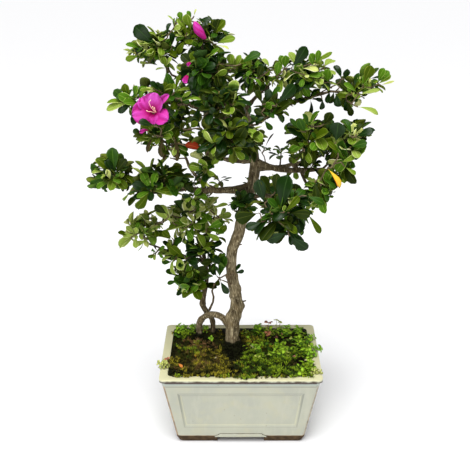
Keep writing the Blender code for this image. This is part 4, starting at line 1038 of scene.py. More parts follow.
seenLeaves = {               # more of them by their place in the picture: foot and tip in pixels, depth in mm, width
    "deepA": [
        (292, 67, 307, 47, -26, 1.15), (288, 232, 266, 242, -88, 1.1), (262, 222, 246, 228, -84, 1.1),
        (330, 91, 327, 103, 0, 1.1), (168, 35, 167, 22, -14, 1.1), (172, 46, 169, 32, -16, 1.1),
        (198, 21, 211, 19, -6, 1.0), (132, 104, 118, 112, -58, 1.0), (160, 92, 151, 81, -54, 1.2),
        (164, 94, 160, 84, -56, 1.1), (341, 79, 338, 65, 12, 1.2), (344, 79, 347, 67, 10, 1.1),
        (322, 99, 322, 110, -6, 1.5), (277, 104, 296, 86, -48, 1.1), (336, 142, 338, 123, -36, 1.7),
        (356, 137, 373, 130, -26, 1.1), (346, 98, 345, 115, 6, 1.0), (201, 128, 192, 117, -58, 1.2),
        (336, 93, 338, 107, 0, 1.2), (266, 104, 269, 91, -42, 1.2), (219, 118, 210, 108, -66, 1.1),
        (290, 236, 308, 250, -84, 1.1)],
    "deepB": [
        (257, 79, 262, 66, -20, 1.2), (346, 100, 353, 117, 8, 0.9), (346, 98, 337, 106, 4, 0.9),
        (324, 124, 331, 113, -24, 1.5), (356, 134, 361, 122, -24, 1.2), (315, 182, 316, 199, -40, 1.1),
        (302, 148, 291, 141, -30, 0.9), (304, 152, 293, 158, -30, 0.8), (271, 196, 262, 176, -66, 1.1),
        (275, 192, 277, 174, -70, 1.0), (183, 128, 194, 114, -60, 0.9), (142, 192, 131, 208, -22, 1.1),
        (334, 91, 330, 104, 2, 1.1), (262, 104, 258, 90, -40, 1.1), (195, 146, 190, 137, -58, 1.2),
        (196, 148, 203, 139, -60, 1.1), (331, 168, 339, 178, -40, 1.1), (206, 138, 197, 131, -60, 1.2)],
    "midA": [
        (241, 64, 260, 52, -24, 1.0), (301, 131, 291, 119, -30, 0.7), (309, 128, 304, 114, -30, 0.9),
        (305, 132, 299, 120, -34, 1.2), (351, 136, 347, 117, -26, 0.9), (351, 147, 368, 143, -28, 1.1),
        (321, 186, 329, 202, -42, 0.9), (172, 95, 170, 74, -50, 0.8), (126, 101, 114, 90, -54, 1.2),
        (128, 101, 116, 96, -56, 1.2), (146, 62, 145, 51, -20, 1.2), (322, 178, 333, 191, -40, 1.0),
        (178, 276, 166, 270, 26, 1.2), (178, 281, 167, 283, 24, 1.0), (172, 262, 162, 262, 16, 1.0),
        (295, 158, 286, 147, -14, 0.5), (298, 156, 293, 142, -16, 0.5), (296, 160, 287, 156, -14, 0.5),
        (170, 158, 162, 155, -24, 0.8), (270, 98, 277, 86, -38, 1.0), (264, 120, 272, 130, -46, 1.0),
        (262, 112, 275, 117, -46, 0.9)],
    "midB": [
        (262, 153, 256, 146, 4, 0.8), (263, 152, 270, 147, 2, 0.7), (172, 238, 163, 231, 10, 1.0),
        (216, 236, 226, 226, 20, 0.9), (214, 238, 228, 238, 18, 0.9), (131, 236, 117, 234, 6, 0.9),
        (178, 160, 172, 152, -26, 0.8), (214, 36, 221, 19, -8, 1.5), (363, 84, 372, 66, 4, 1.3),
        (129, 100, 124, 84, -56, 1.1), (176, 90, 178, 75, -48, 0.7), (190, 128, 199, 120, -60, 0.9),
        (284, 110, 289, 116, -40, 1.0), (338, 153, 331, 141, -38, 1.2), (150, 62, 153, 50, -22, 1.0)],
    "freshA": [
        (182, 21, 179, 12, -10, 1.4), (191, 20, 189, 11, -12, 1.4), (134, 100, 136, 86, -58, 1.1),
        (313, 66, 311, 54, -10, 1.5), (327, 82, 321, 70, -8, 1.3), (328, 82, 330, 68, -12, 1.5),
        (357, 93, 345, 83, 2, 1.4), (378, 82, 382, 69, 16, 1.2), (378, 82, 389, 71, 16, 1.1),
        (142, 50, 126, 43, -14, 1.0), (250, 78, 264, 82, -26, 1.1), (265, 108, 273, 103, -44, 1.5),
        (277, 77, 279, 62, -14, 1.2), (362, 88, 366, 74, 6, 1.1), (207, 228, 223, 222, 20, 1.0),
        (207, 230, 224, 232, 18, 0.9), (206, 150, 216, 142, -50, 1.1), (284, 68, 285, 54, -14, 1.3),
        (287, 68, 280, 56, -14, 1.1), (316, 64, 320, 52, -10, 1.1)],
    "freshB": [
        (216, 44, 235, 37, -10, 0.9), (140, 55, 125, 60, -16, 1.0), (129, 102, 107, 101, -56, 0.9),
        (153, 89, 140, 90, -58, 0.6), (175, 92, 190, 86, -54, 0.6), (181, 98, 192, 91, -56, 0.6),
        (182, 101, 201, 98, -58, 0.6), (312, 63, 332, 53, -8, 0.5), (232, 68, 230, 54, -14, 1.2),
        (236, 68, 240, 55, -14, 1.0), (341, 162, 356, 157, -32, 1.0), (345, 167, 354, 177, -32, 1.2),
        (378, 84, 391, 75, 16, 0.8), (189, 211, 189, 197, 14, 1.2), (166, 67, 163, 57, -20, 1.1),
        (206, 232, 219, 240, 18, 0.9), (131, 191, 120, 204, -22, 0.5), (206, 177, 207, 163, -30, 1.1)],
    "youngA": [
        (175, 23, 168, 15, -8, 0.6), (174, 28, 183, 33, -14, 1.2), (172, 31, 180, 26, -12, 1.1),
        (129, 103, 106, 109, -58, 0.8), (153, 64, 137, 62, -18, 0.5), (167, 68, 156, 72, -20, 0.6),
        (358, 107, 379, 113, -2, 0.9), (359, 95, 379, 88, 4, 0.5), (339, 86, 327, 81, -4, 0.6),
        (172, 222, 158, 206, 14, 1.4), (269, 68, 266, 58, -16, 1.2), (212, 209, 230, 206, 16, 0.5),
        (166, 67, 171, 57, -20, 1.0), (131, 239, 117, 246, 8, 0.8), (147, 240, 134, 245, 8, 0.9)],
    "youngB": [
        (194, 16, 196, 9, -10, 0.6), (137, 51, 126, 51, -14, 0.7), (216, 45, 229, 48, -14, 0.6),
        (381, 85, 394, 81, 14, 0.4), (164, 222, 170, 209, 14, 1.3)],
    "redLeaf": [
        (207, 152, 185.5, 143, -66, 1.15)],
    "yellowLeaf": [
        (328, 169, 342, 187, -42, 0.75)],
    "brownLeaf": [
        (265, 148, 273, 133, 4, 0.22), (142, 197, 138, 211, -24, 0.4), (168, 150, 163, 160, -48, 0.9),
        (178, 150, 177, 161, -46, 0.8)],
}

boughSprays = [              # limb, place on it, heading of the twig, twig and leaf length, tint shares
    ("upper_right", 0.52, (0.25, -0.6, 0.7), 13, 19, (3, 4, 3, 1)),
    ("upper_right", 0.66, (0.3, 0.4, 0.9), 14, 18, (2, 3, 3, 2)),
    ("upper_right", 0.76, (0.3, -0.75, 0.2), 14, 18, (3, 4, 2, 1)),
    ("upper_right", 0.88, (0.45, -0.3, 0.85), 13, 18, (2, 3, 3, 2)),
    ("apex", 0.35, (-0.2, -0.7, 0.5), 13, 19, (5, 3, 1, 0)),
    ("upper_left", 0.45, (-0.3, -0.6, 0.7), 12, 18, (4, 3, 2, 1)),
    ("upper_left", 0.7, (-0.3, -0.5, -0.6), 11, 17, (3, 3, 3, 1)),
    ("bloom_high", 0.55, (-0.3, -0.7, 0.5), 12, 18, (5, 3, 2, 0)),
    ("right", 0.9, (0.2, -0.7, 0.5), 12, 17, (4, 4, 2, 1)),
    ("left_low", 0.72, (-0.2, -0.7, -0.4), 10, 15, (3, 4, 2, 1)),
    ("lower_left", 0.55, (-0.2, -0.5, 0.6), 10, 15, (2, 3, 3, 2)),
    ("lower_left", 0.8, (-0.4, -0.5, -0.3), 10, 14, (2, 3, 3, 2)),
    ("back_low_right", 0.4, (0.6, 0.3, 0.6), 16, 18, (5, 3, 1, 0)),
    ("back_low_right", 0.52, (-0.5, 0.6, 0.5), 20, 19, (4, 3, 2, 0)),
    ("back_low_right", 0.64, (0.7, 0.5, -0.3), 18, 18, (4, 3, 2, 1)),
    ("back_low_right", 0.76, (-0.6, 0.5, -0.1), 18, 18, (4, 3, 2, 1)),
    ("back_low_right", 0.88, (0.4, 0.6, 0.7), 18, 19, (3, 4, 3, 1)),
    ("back_low_left", 0.45, (-0.3, 0.8, 0.5), 18, 18, (4, 3, 2, 0)),
    ("back_low_left", 0.62, (-0.4, 0.6, -0.5), 17, 18, (4, 3, 2, 1)),
    ("back_low_left", 0.8, (-0.2, 0.9, 0.3), 18, 19, (3, 4, 2, 1)),
    ("back_right", 0.4, (0.1, 0.7, 0.7), 18, 18, (4, 3, 2, 0)),
    ("back_right", 0.58, (0.3, 0.8, -0.4), 17, 18, (4, 3, 2, 1)),
    ("back_right", 0.74, (0.2, 0.8, 0.6), 18, 19, (3, 4, 3, 1)),
    ("back_left", 0.45, (-0.1, 0.9, 0.4), 18, 18, (4, 3, 2, 0)),
    ("back_left", 0.66, (-0.3, 0.8, -0.4), 17, 18, (4, 3, 2, 1)),
    ("back_centre", 0.5, (0.4, 0.7, -0.5), 17, 18, (4, 3, 2, 1)),
    ("back_centre", 0.75, (-0.4, 0.8, 0.5), 17, 19, (3, 4, 2, 1)),
]

linkTwig = [                 # the thin stem from the second stem's fork up to the trunk's twig: x, y, height, radius
    (-41.3, 45, 136.9, 1.7), (-36.2, 42, 150, 1.4), (-35.2, 38, 159.1, 1.4), (-37.1, 34, 169.5, 1.3),
    (-33.7, 29, 181.7, 1.1), (-26.4, 22, 193, 1), (-15, 17, 202, 1.2)]


def growPlainLeaves(growth):
    leaves = {tint: [(inMetres(foot), inMetres(tip), *rest) for foot, tip, *rest in rows]
              for tint, rows in plainLeaves.items()}
    for tint, rows in seenLeaves.items():
        leaves.setdefault(tint, []).extend(
            (seenAt(across, down, y), seenAt(tipAcross, tipDown, y - 2 - 2 * (k % 4)), wide, (0, 1, 4, 0, 5, 2)[k % 6])
            for k, (across, down, tipAcross, tipDown, y, wide) in enumerate(rows))
    for tint, rows in leaves.items():
        for k, (foot, tip, wide, shape) in enumerate(rows):
            nearest = growth.nearest(lambda p: norm(p - foot) + 1.5 * max(0.0, p[2] - foot[2]))
            along = unit(tip - foot)
            growth.addTwig(bendTwig(nearest, unit(foot - nearest + 1e-6), foot, along, 4),
                           twigValues["fork"], twigValues["tip"])
            facing = np.array([0, -0.8, 0.6])
            facing = squareTo(facing, along)
            facing = unit(facing + np.cross(along, facing) * 0.75 * sin(2.4 * k + len(tint)))
            growth.addLeaf(tint, foot, along, facing, float(norm(tip - foot)), wide, shape)


def growBoughSprays(growth):
    rng = np.random.default_rng(17)
    everywhere = (np.zeros(3), np.ones(3) * 9, [])
    obstacles = segmentsOf(list(limbs.values()))
    for name, share, heading, length, leaf, shares in boughSprays:
        middle, thickness = pointOn(limbs[name], share)
        length, leaf = inMetres((length, leaf))
        heading = unit(heading)
        path = bendTwig(middle, heading, middle + heading * (length + thickness),
                        unit(heading + np.array([0, 0, 0.5])), 6)
        growth.addTwig(path, twigValues["twig"], twigValues["tip"])
        growRosette(growth, path[-1], unit(path[-1] - path[-2]), leaf, shares, rng, everywhere, obstacles)
        growStemLeaves(growth, path, leaf, shares, rng, everywhere, obstacles)


def leafShape(lift, droop, cup, wave, wide):
    # a closed blade of length 1 along +X, face up; marks tell the midrib, the margin and the underside
    rows, halves = leafValues["rows"], leafValues["halfWidths"]
    columns = (-1.0, -leafValues["margin"], -leafValues["rib"], leafValues["rib"], leafValues["margin"], 1.0)
    vertices, faces, kinds = [], [], []
    x = z = 0.0
    for k, t in enumerate(rows):
        bend = radians(lift + (droop - lift) * t)
        if k:
            step = t - rows[k - 1]
            x += cos(bend) * step
            z += sin(bend) * step
        half = halves[k] * leafValues["width"] * 0.5 * wide
        up = np.array([-sin(bend), 0, cos(bend)])
        middle = np.array([x, 0, z])
        for u in columns:
            rise = 0.0
            if abs(u) > 0.5:
                rise = (cup * abs(u) + 0.1 * (abs(u) < 1) + wave * sin(9.0 * t + (1.1 if u > 0 else 2.6))) * half
            vertices.append(middle + up * rise + np.array([0, u * half, 0]))
        vertices.append(middle - up * leafValues["thickness"] * (0.4 + 0.6 * min(1, halves[k])))
    for k in range(len(rows) - 1):
        a, b = 7 * k, 7 * (k + 1)
        for c, kind in enumerate("mbrbm"):
            faces.append((a + c + 1, b + c + 1, b + c, a + c))
            kinds.append(kind)
        faces += [(a, b, b + 6, a + 6), (a + 6, b + 6, b + 5, a + 5)]
        kinds += ["u", "u"]
    last = 7 * (len(rows) - 1)
    faces += [(6, 5, 4, 3, 2, 1, 0), tuple(last + c for c in range(7))]
    kinds += ["u", "u"]
    return vertices, faces, {mark: [kind == letter for kind in kinds]
                             for mark, letter in (("isRib", "r"), ("isMargin", "m"), ("isUnder", "u"))}


def tipShape():
    # a small scaly bud of length 1
    vertices = [(x, r * cos(2 * pi * k / 5), r * sin(2 * pi * k / 5))
                for x, r in ((0.0, 0.16), (0.35, 0.27), (0.75, 0.17), (1.0, 0.02)) for k in range(5)]
    return vertices, tubeFaces(5, 4), {}


def makeFoliage():
    growth = Growth()
    spaces = layOutSpaces()
    stems = {name: massStem(name) for name in massRows}
    for name in massRows:
        obstacles = segmentsOf(list(limbs.values()) + [stem for other, stem in stems.items() if other != name])
        growMass(growth, name, spaces[name], stems[name], obstacles)
    growStubs(growth)
    growBoughSprays(growth)
    growPlainLeaves(growth)
    link = inMetres(linkTwig)
    growth.twigs.append((link[:, :3], link[:, 3]))
    tree = sprayTree()
    shapes = shapeCollection("leafShape", [leafShape(*row) for row in leafValues["shapes"]])
    pieces = []
    for tint, rows in growth.leaves.items():
        if not rows:
            continue
        blade, under, rib, margin, roughness, gloss = tintFinishes[tint]
        finishes = [newMaterial(tint + part, colour, rough, gloss) for part, colour, rough in (
            ("Blade", blade, roughness), ("Rib", rib, 0.5), ("Margin", margin, 0.5), ("Underside", under, 0.6))]
        pieces.append(sprayPiece("leaves" + tint[0].upper() + tint[1:], rows, shapes, tree, *finishes))
    dropCollection(shapes)
    shapes = shapeCollection("tipShape", [tipShape()])
    rows = []
    for place, axis, length in growth.tips:
        side = unit(np.cross(axis, (0.3, 0.2, 0.9)))
        rows.append((place, turnOf(axis, side, np.cross(axis, side)), (length, length, length), 0))
    v = twigValues
    pieces.append(sprayPiece("tipBuds", rows, shapes, tree, newMaterial("budScales", v["budScales"], 0.6)))
    dropCollection(shapes)
    twigBark = layeredMaterial("twigBark", v["bark"], 0.75, [((240, 3.0), v["barkLight"])], base=v["barkDark"])
    chainPiece("twigs", growth.twigs, twigBark, v["sides"])
    for k, piece in enumerate(pieces):
        finishPiece(piece, massNodes if k == 0 else ())
    print("leaves:", {tint: len(rows) for tint, rows in growth.leaves.items()}, "rosettes:", len(growth.tips))
    return growth


# blossom

bloomValues = {
    "throat": (-0.0977, -0.0715, 0.43), "facing": (-0.12, -0.92, 0.3), "depth": 0.011,
    "room": (0.0225, 0.015),     # half its width and depth, kept free of leaves
    "rows": 16, "columns": 12, "thickness": 0.00035, "filamentRadii": (0.00042, 0.00028),
    "stalkRadii": (0.0009, 0.001), "calyxRadii": (0.0011, 0.0016, 0.0012),
    # half width along a petal
    "outline": ((0, 0.15, 0.35, 0.6, 0.8, 0.93, 1), (0.22, 0.44, 0.74, 0.98, 1.0, 0.76, 0.28)),
    # heading in the flower's face, then in mm length, half width and how far the tip stands forward; cupping,
    # ruffle, paleness
    "petals": [
        (76, 20.4, 11.4, 6, 0.22, 2.2, 1.0), (124, 18.5, 8.8, 1.5, 0.16, 1.8, 0.35),
        (192, 21.2, 12.4, 3, 0.2, 2.2, 0.3), (336, 20.8, 9.6, 2.5, -0.16, 2.4, 0.15),
        (46, 26.2, 3.7, 1, 1.2, 0.8, 0.4), (276, 13, 8.8, -2, 0.18, 1.6, 0.1)],
    "filaments": [           # right, up and forward of the throat, in mm
        [(4, -0.2, -4), (2.2, 2.2, 4), (0.4, 5.6, 8), (-0.8, 9.2, 9.6), (0.4, 10.8, 9.8)],
        [(3.6, 0.4, -4), (3.4, 2.2, 3.6), (2.8, 4.2, 5.6)],
        [(3, -0.8, -4), (0.2, -0.2, 3), (-2, -0.6, 4.8), (-3.2, 0, 5.2)],
        [(4.6, 0, -4), (4.8, 1.4, 3.2), (4.6, 3.2, 5)]],
    # the deep colour is also painted shade in the ruffles and in the bud's creases; the pale one is also painted
    # highlight on their crests
    "petal": (0.45, 0.01, 0.235), "pale": (0.57, 0.085, 0.47), "deep": (0.33, 0.002, 0.095),
    "warm": (0.6, 0.05, 0.43), "filament": (0.9, 0.5, 0.42), "anther": (0.9, 0.62, 0.42),
    # shrunken petals among the leaves: foot, heading, facing, length, half width
    "fallen": [
        (seenAt(188, 75, -56), (-0.45, -0.1, -0.85), (-0.2, -0.95, 0.1), 0.01, 0.0034),
        (seenAt(191, 62, -54), (-0.55, -0.1, -0.5), (-0.2, -0.95, 0.1), 0.0062, 0.0022),
        ((-0.102, -0.068, 0.4085), (-0.98, -0.1, -0.15), (0.0, -0.75, 0.6), 0.01, 0.002)],
}

budValues = {
    "foot": seenAt(205.5, 39.0, -16), "tip": seenAt(194, 21.5, -19), "radius": 0.0049,
    "outline": ((0, 0.1, 0.35, 0.62, 0.85, 0.96, 1), (0.34, 0.55, 0.92, 1.0, 0.7, 0.36, 0.1)),
    "around": 40, "along": 20, "folds": 5, "turns": 0.42, "calyx": (0.1, 0.16, 0.03),
}


def petalFinish():
    v = bloomValues
    return layeredMaterial("pinkPetal", v["petal"], 0.55, [
        ("pale", v["pale"]), ((170, 3.0, None, 0.35, 0.75, 0.35), v["warm"]), ("deep", v["deep"])],
        ((700, 2.0), 0.15, 0.0003))


def petalGrid(line, side, facing, half, cup, ruffle, pale, seed):
    # a closed thin petal about its middle line, with its colour values
    rows, columns = len(line) - 1, bloomValues["columns"]
    t = np.linspace(0, 1, rows + 1)
    shape = np.interp(t, *bloomValues["outline"]) * half
    phases = np.random.default_rng(seed).uniform(0, 6.28, 3)
    top = np.zeros((rows + 1, columns + 1, 3))
    deep, paleness = np.zeros((2, rows + 1, columns + 1))
    for r in range(rows + 1):
        along = unit(line[min(r + 1, rows)] - line[max(r - 1, 0)])
        up = squareTo(facing, along)
        for c, u in enumerate(np.linspace(-1, 1, columns + 1)):
            wave = (sin(u * 4.5 + phases[0] + 3 * t[r]) * abs(u) + 0.6 * sin(u * 9 + phases[1]) * t[r] ** 2
                    + 0.5 * sin(8 * t[r] + phases[2]) * abs(u))
            rise = cup * shape[r] * u * u + ruffle * 0.0009 * wave * min(1, t[r] * 1.6)
            top[r, c] = line[r] + side * shape[r] * u - along * 0.2 * shape[r] * u * u + up * rise
            # deep holds the darker throat, the veins and painted shade in the ruffles' creases; paleness holds the
            # paler petal, the paler tips and painted highlight on the ruffles' crests
            throat = max(0, 1 - (t[r] - 0.24) / 0.42) * (1 - 0.25 * abs(u))
            vein = 0.16 * max(0, sin(u * 14)) * (1 - t[r])
            deep[r, c] = min(1, throat + vein + 0.55 * max(0, -wave) * t[r])
            edge = 0.3 * shareBetween(t[r], 0.8, 1)
            paleness[r, c] = min(1, max(0, pale * shareBetween(t[r], 0.25, 0.7) + edge + 0.4 * wave))
    count, total = columns + 1, (rows + 1) * (columns + 1)
    faces = []
    for a, b, c, d in gridFaces(count, rows + 1):
        faces += [(a, b, c, d), (total + a, total + d, total + c, total + b)]
    rim = ([c for c in range(columns)] + [r * count + columns for r in range(rows)]
           + [rows * count + c for c in range(columns, 0, -1)] + [r * count for r in range(rows, 0, -1)])
    faces += [(b, a, total + a, total + b) for a, b in zip(rim, rim[1:] + rim[:1])]
    top = top.reshape(-1, 3)
    return (np.vstack([top, top - facing * bloomValues["thickness"]]), faces,
            np.tile(deep.ravel(), 2), np.tile(paleness.ravel(), 2))


def joinPetals(name, parts, finish):
    finishPiece(joinParts(name, parts, ("deep", "pale"), finish, turnOut=True))


def makeBloom(finish):
    v = bloomValues
    throat, forward = np.array(v["throat"]), unit(v["facing"])
    right = unit(np.cross((0, 0, 1), forward))
    up = np.cross(forward, right)
    parts = []
    t = np.linspace(0, 1, v["rows"] + 1)[:, None]
    for k, (heading, length, half, lift, *rest) in enumerate(v["petals"]):
        length, half, lift = inMetres((length, half, lift))
        out = cos(radians(heading)) * right + sin(radians(heading)) * up
        knots = [(0.0004, -v["depth"]), (0.0036, -0.001), (0.55 * length, 0.0045), (length, lift)]
        a, b, c, d = [throat + out * reach + forward * height for reach, height in knots]
        line = (1 - t) ** 3 * a + 3 * (1 - t) ** 2 * t * b + 3 * (1 - t) * t ** 2 * c + t ** 3 * d
        line = line - forward * 0.0006 * k
        parts.append(petalGrid(line, np.cross(forward, out), forward, half, *rest, 40 + k))
    joinPetals("openBloom", parts, finish)
    parts = []
    for k, (foot, heading, facing, length, half) in enumerate(v["fallen"]):
        foot, heading, facing = np.array(foot), unit(heading), unit(facing)
        line = foot + heading * length * t + facing * 0.0012 * np.sin(t * 5)
        parts.append(petalGrid(line, np.cross(facing, heading), facing, half, 0.5, 1.2, 0.3, 60 + k))
    joinPetals("fallenPetals", parts, finish)
    chains, tips = [], []
    for points in v["filaments"]:
        curve = splineThrough([throat + right * x + up * y + forward * z for x, y, z in inMetres(points)], 5)
        chains.append((curve, np.linspace(*v["filamentRadii"], len(curve))))
        axis = unit(curve[-1] - curve[-2])
        side = unit(np.cross(axis, forward))
        turn = turnOf(axis, side, np.cross(axis, side))
        tips.append((curve[-1] - axis * 0.0003, turn, (0.0018, 0.0024, 0.0024), 0))
    chainPiece("bloomFilaments", chains, newMaterial("paleFilament", v["filament"], 0.5), 8)
    shapes = shapeCollection("antherShape", [tipShape()])
    anther = newMaterial("anther", v["anther"], 0.6)
    finishPiece(sprayPiece("bloomAnthers", tips, shapes, sprayTree(), anther))
    dropCollection(shapes)
    return throat - forward * (v["depth"] + 0.001), forward


def makeBud(finish):
    v = budValues
    axis, length = unit(v["tip"] - v["foot"]), norm(v["tip"] - v["foot"])
    side = unit(np.cross(axis, (0, -1, 0.2)))
    other = np.cross(axis, side)
    bend = unit(np.array([-0.6, 0, -0.4]))
    vertices, deep, pale = [], [], []
    for share in np.linspace(0, 1, v["along"]):
        radius = v["radius"] * np.interp(share, *v["outline"])
        place = v["foot"] + axis * length * share + bend * 0.0012 * sin(share * pi)
        for k in range(v["around"]):
            angle = 2 * pi * k / v["around"]
            fold = (angle * v["folds"] / (2 * pi) + share * v["turns"] * v["folds"]) % 1.0
            ridge = 1.0 + 0.13 * (fold - 0.5) * min(1, share * 3)
            vertices.append(place + (cos(angle) * side + sin(angle) * other) * radius * ridge)
            # painted shade in the creases between the folds and painted highlight on the folds, and darker towards the
            # foot
            deep.append(0.9 * (fold < 0.14) * min(1, share * 3) + 0.55 * (1 - share) ** 2)
            pale.append(0.45 * (0.25 < fold < 0.8) * shareBetween(share, 0.2, 0.7))
    faces = tubeFaces(v["around"], v["along"])
    joinPetals("bloomBud", [(np.array(vertices), faces, np.array(deep), np.array(pale))], finish)
    return v["foot"], axis


def makeBlossom(growth):
    finish, v, stalks = petalFinish(), bloomValues, []
    ends = [(*makeBloom(finish), 0.0015), (*makeBud(finish), 0.0035)]
    ends += [(np.array(foot), unit(heading), 0.0004) for foot, heading, *_ in v["fallen"][:2]]
    for end, along, reach in ends:
        nearest = growth.nearest(lambda point: norm(point - end))
        path = bendTwig(nearest, unit(end - nearest), end, along, 6)
        calyx = [end - along * 0.001, end + along * reach * 0.4, end + along * reach * 0.8]
        stalks += [(path, np.linspace(*v["stalkRadii"], len(path))), (calyx, v["calyxRadii"])]
    chainPiece("bloomStalks", stalks, newMaterial("greenCalyx", budValues["calyx"], 0.6), 10)
    print("bloom, bud and fallen petals are open")


# pot

potValues = {
    "length": 0.2, "width": 0.15, "height": 0.1, "rimHeight": 0.0045, "coveHeight": 0.0065, "rimWidth": 0.01,
    "wallInsetTop": 0.0034, "wallInsetFoot": 0.0185, "footInset": 0.0215, "footHeight": 0.0065, "footThickness": 0.013,
    "footGapShare": 0.38, "cutDepth": 0.0075, "wall": 0.0055, "floorTop": 0.016, "corner": 0.006,
    "clayTop": 0.0095,
    # sunken panel of each wall: heights of its top and foot, way in from the corners there, sloping side and depth
    "panelTop": 0.0775, "panelFoot": 0.024, "panelSideTop": 0.0112, "panelSideFoot": 0.008,
    "panelBevel": 0.0032, "panelDepth": 0.0014, "panelGuard": 0.0012, "panelBand": 0.0036,
    "cornerSteps": 8, "edge": 0.0007, "edgeSteps": 3,
    "glaze": (0.42, 0.425, 0.33), "glazeShade": (0.375, 0.385, 0.315), "glazeWarm": (0.43, 0.42, 0.3),
    # the rim's cream glaze here is also the painted light on the rim's top and the painted highlights beside the panels
    "rustGlaze": (0.33, 0.17, 0.055), "creamAndHighlightGlaze": (0.62, 0.595, 0.37),
    # painted shade in the cove; pooled glaze and painted shade in the panels' grooves; broken glaze, which is also the
    # painted shadow under the rim
    "coveShadeGlaze": (0.35, 0.4, 0.35), "poolAndShadeGlaze": (0.25, 0.26, 0.21), "thinAndShadowGlaze": (0.042, 0.022, 0.012),
    "streakGlaze": (0.44, 0.44, 0.35), "speckGlaze": (0.13, 0.12, 0.085),
    "clay": (0.065, 0.04, 0.02), "inside": (0.03, 0.03, 0.024),
}


def potOutline(inset, z):
    halfX = potValues["length"] / 2 - inset
    halfY = potValues["width"] / 2 - inset
    radius, steps = potValues["corner"], potValues["cornerSteps"]
    points = []
    for x, y, first in ((halfX, halfY, 0), (-halfX, halfY, 90), (-halfX, -halfY, 180), (halfX, -halfY, 270)):
        middle = (x - copysign(radius, x), y - copysign(radius, y))
        for k in range(steps + 1):
            angle = radians(first + 90 * k / steps)
            points.append((middle[0] + radius * cos(angle), middle[1] + radius * sin(angle), z))
    return points


def wallInset(z):
    v = potValues
    top, foot = v["height"] - v["rimHeight"] - v["coveHeight"], v["footHeight"]
    return v["wallInsetFoot"] + (v["wallInsetTop"] - v["wallInsetFoot"]) * (z - foot) / (top - foot)


def wallRoom(place):
    # how far a place lies inside the wall's outer face
    inset = wallInset(min(place.z, 0.089))
    return min(potValues["length"] / 2 - inset - abs(place.x), potValues["width"] / 2 - inset - abs(place.y))


def boxShape(name, low, high):
    corners = [(x, y, z) for z in (low[2], high[2]) for x, y in
               ((low[0], low[1]), (high[0], low[1]), (high[0], high[1]), (low[0], high[1]))]
    sides = [(0, 1, 5, 4), (1, 2, 6, 5), (2, 3, 7, 6), (3, 0, 4, 7)]
    return meshObject(name, corners, [(3, 2, 1, 0), (4, 5, 6, 7)] + sides)


def glazeSpecks(tree):
    # a few faint dark specks
    place = addNode(tree, "ShaderNodeTexCoord").outputs["Object"]
    cells = addNode(tree, "ShaderNodeTexVoronoi", {"Vector": place, "Scale": 150})
    near = addNode(tree, "ShaderNodeMapRange", {"Value": cells.outputs["Distance"], "From Min": 0.13, "From Max": 0.05})
    chosen = mathNode(tree, "GREATER_THAN", addNode(tree, "ShaderNodeSeparateColor", {0: cells.outputs["Color"]}), 0.8)
    return mathNode(tree, "MULTIPLY", mathNode(tree, "MULTIPLY", near, chosen), 0.6)


def glazeBreaks(tree):
    # the glaze breaks where it is thin, here and there; the same dark colour is also the painted shadow under the rim
    gaps = mathNode(tree, "MULTIPLY_ADD", noiseValue(tree, 110, 4.0, None, 0.3, 0.6), 0.85, -0.85)
    return mathNode(tree, "MULTIPLY_ADD", attributeValue(tree, "thinAndShadow"), 1.7, gaps, use_clamp=True)


def glazeFinish():
    v = potValues
    # some layers paint light: shade in the cove and in the panels' grooves, light on the rim's top, highlights beside
    # the panels, and, with the breaks, the shadow under the rim
    return layeredMaterial("creamGlaze", v["glaze"], 0.22, [
        ((26, 4.0), v["glazeShade"]), ((60, 3.0, None, 0.52, 0.78), v["glazeWarm"]),
        ((150, 3.0, (1, 1, 0.18), 0.5, 0.85), v["streakGlaze"]), ("coveShade", v["coveShadeGlaze"]), ("creamAndHighlight", v["creamAndHighlightGlaze"]),
        ("poolAndShade", v["poolAndShadeGlaze"]), ("rust", v["rustGlaze"]), (glazeSpecks, v["speckGlaze"]),
        (glazeBreaks, v["thinAndShadowGlaze"])], ((160, 2.0), 0.05, 0.0006), gloss=0.45)


def clayFinish(name, colour):
    dark, light = (tuple(c * share for c in colour) for share in (0.65, 1.35))
    return layeredMaterial(name, colour, 0.85, [((180, 4.0), light)], ((1500, 3.0), 0.3, 0.0003), dark)


def apronMouldings(glaze):
    # the raised moulding above the gap between the feet, on each wall
    v = potValues
    base, rise, proud = v["cutDepth"] + 0.0002, 0.0056, 0.001
    vertices, faces, edges = [], [], []
    for side in range(4):
        half, otherHalf = (v["length"] / 2, v["width"] / 2)[::1 if side % 2 == 0 else -1]
        across = (half - v["footInset"]) * v["footGapShare"]
        turn = radians(90 * side)
        outline = [(-across - 0.0035, 0), (-across - 0.003, 0.0022), (-across + 0.001, 0.0036),
                   (-across + 0.003, rise), (across - 0.003, rise), (across - 0.001, 0.0036),
                   (across + 0.003, 0.0022), (across + 0.0035, 0)]
        faces += tubeFaces(len(outline), 3, len(vertices))
        for out, shrink in ((-0.0015, 1.0), (proud * 0.6, 1.0), (proud, 0.97)):
            for x, up in outline:
                z = base + (up if shrink == 1.0 else 0.0004 + up * 0.86)
                y = -(otherHalf - wallInset(z)) - out
                x = x * shrink
                vertices.append((x * cos(turn) - y * sin(turn), x * sin(turn) + y * cos(turn), z))
                edges.append(0.0 if shrink < 1 else 0.9)
    piece = meshObject("apronMouldings", vertices, faces)
    fixNormals(piece.data)
    soften = piece.modifiers.new("soften", "BEVEL")
    soften.width, soften.segments, soften.limit_method = 0.0003, 2, "ANGLE"
    shadeSmooth(piece.data, 40)
    storeValues(piece.data, "thinAndShadow", edges)
    piece.data.materials.append(glaze)
    finishPiece(piece)


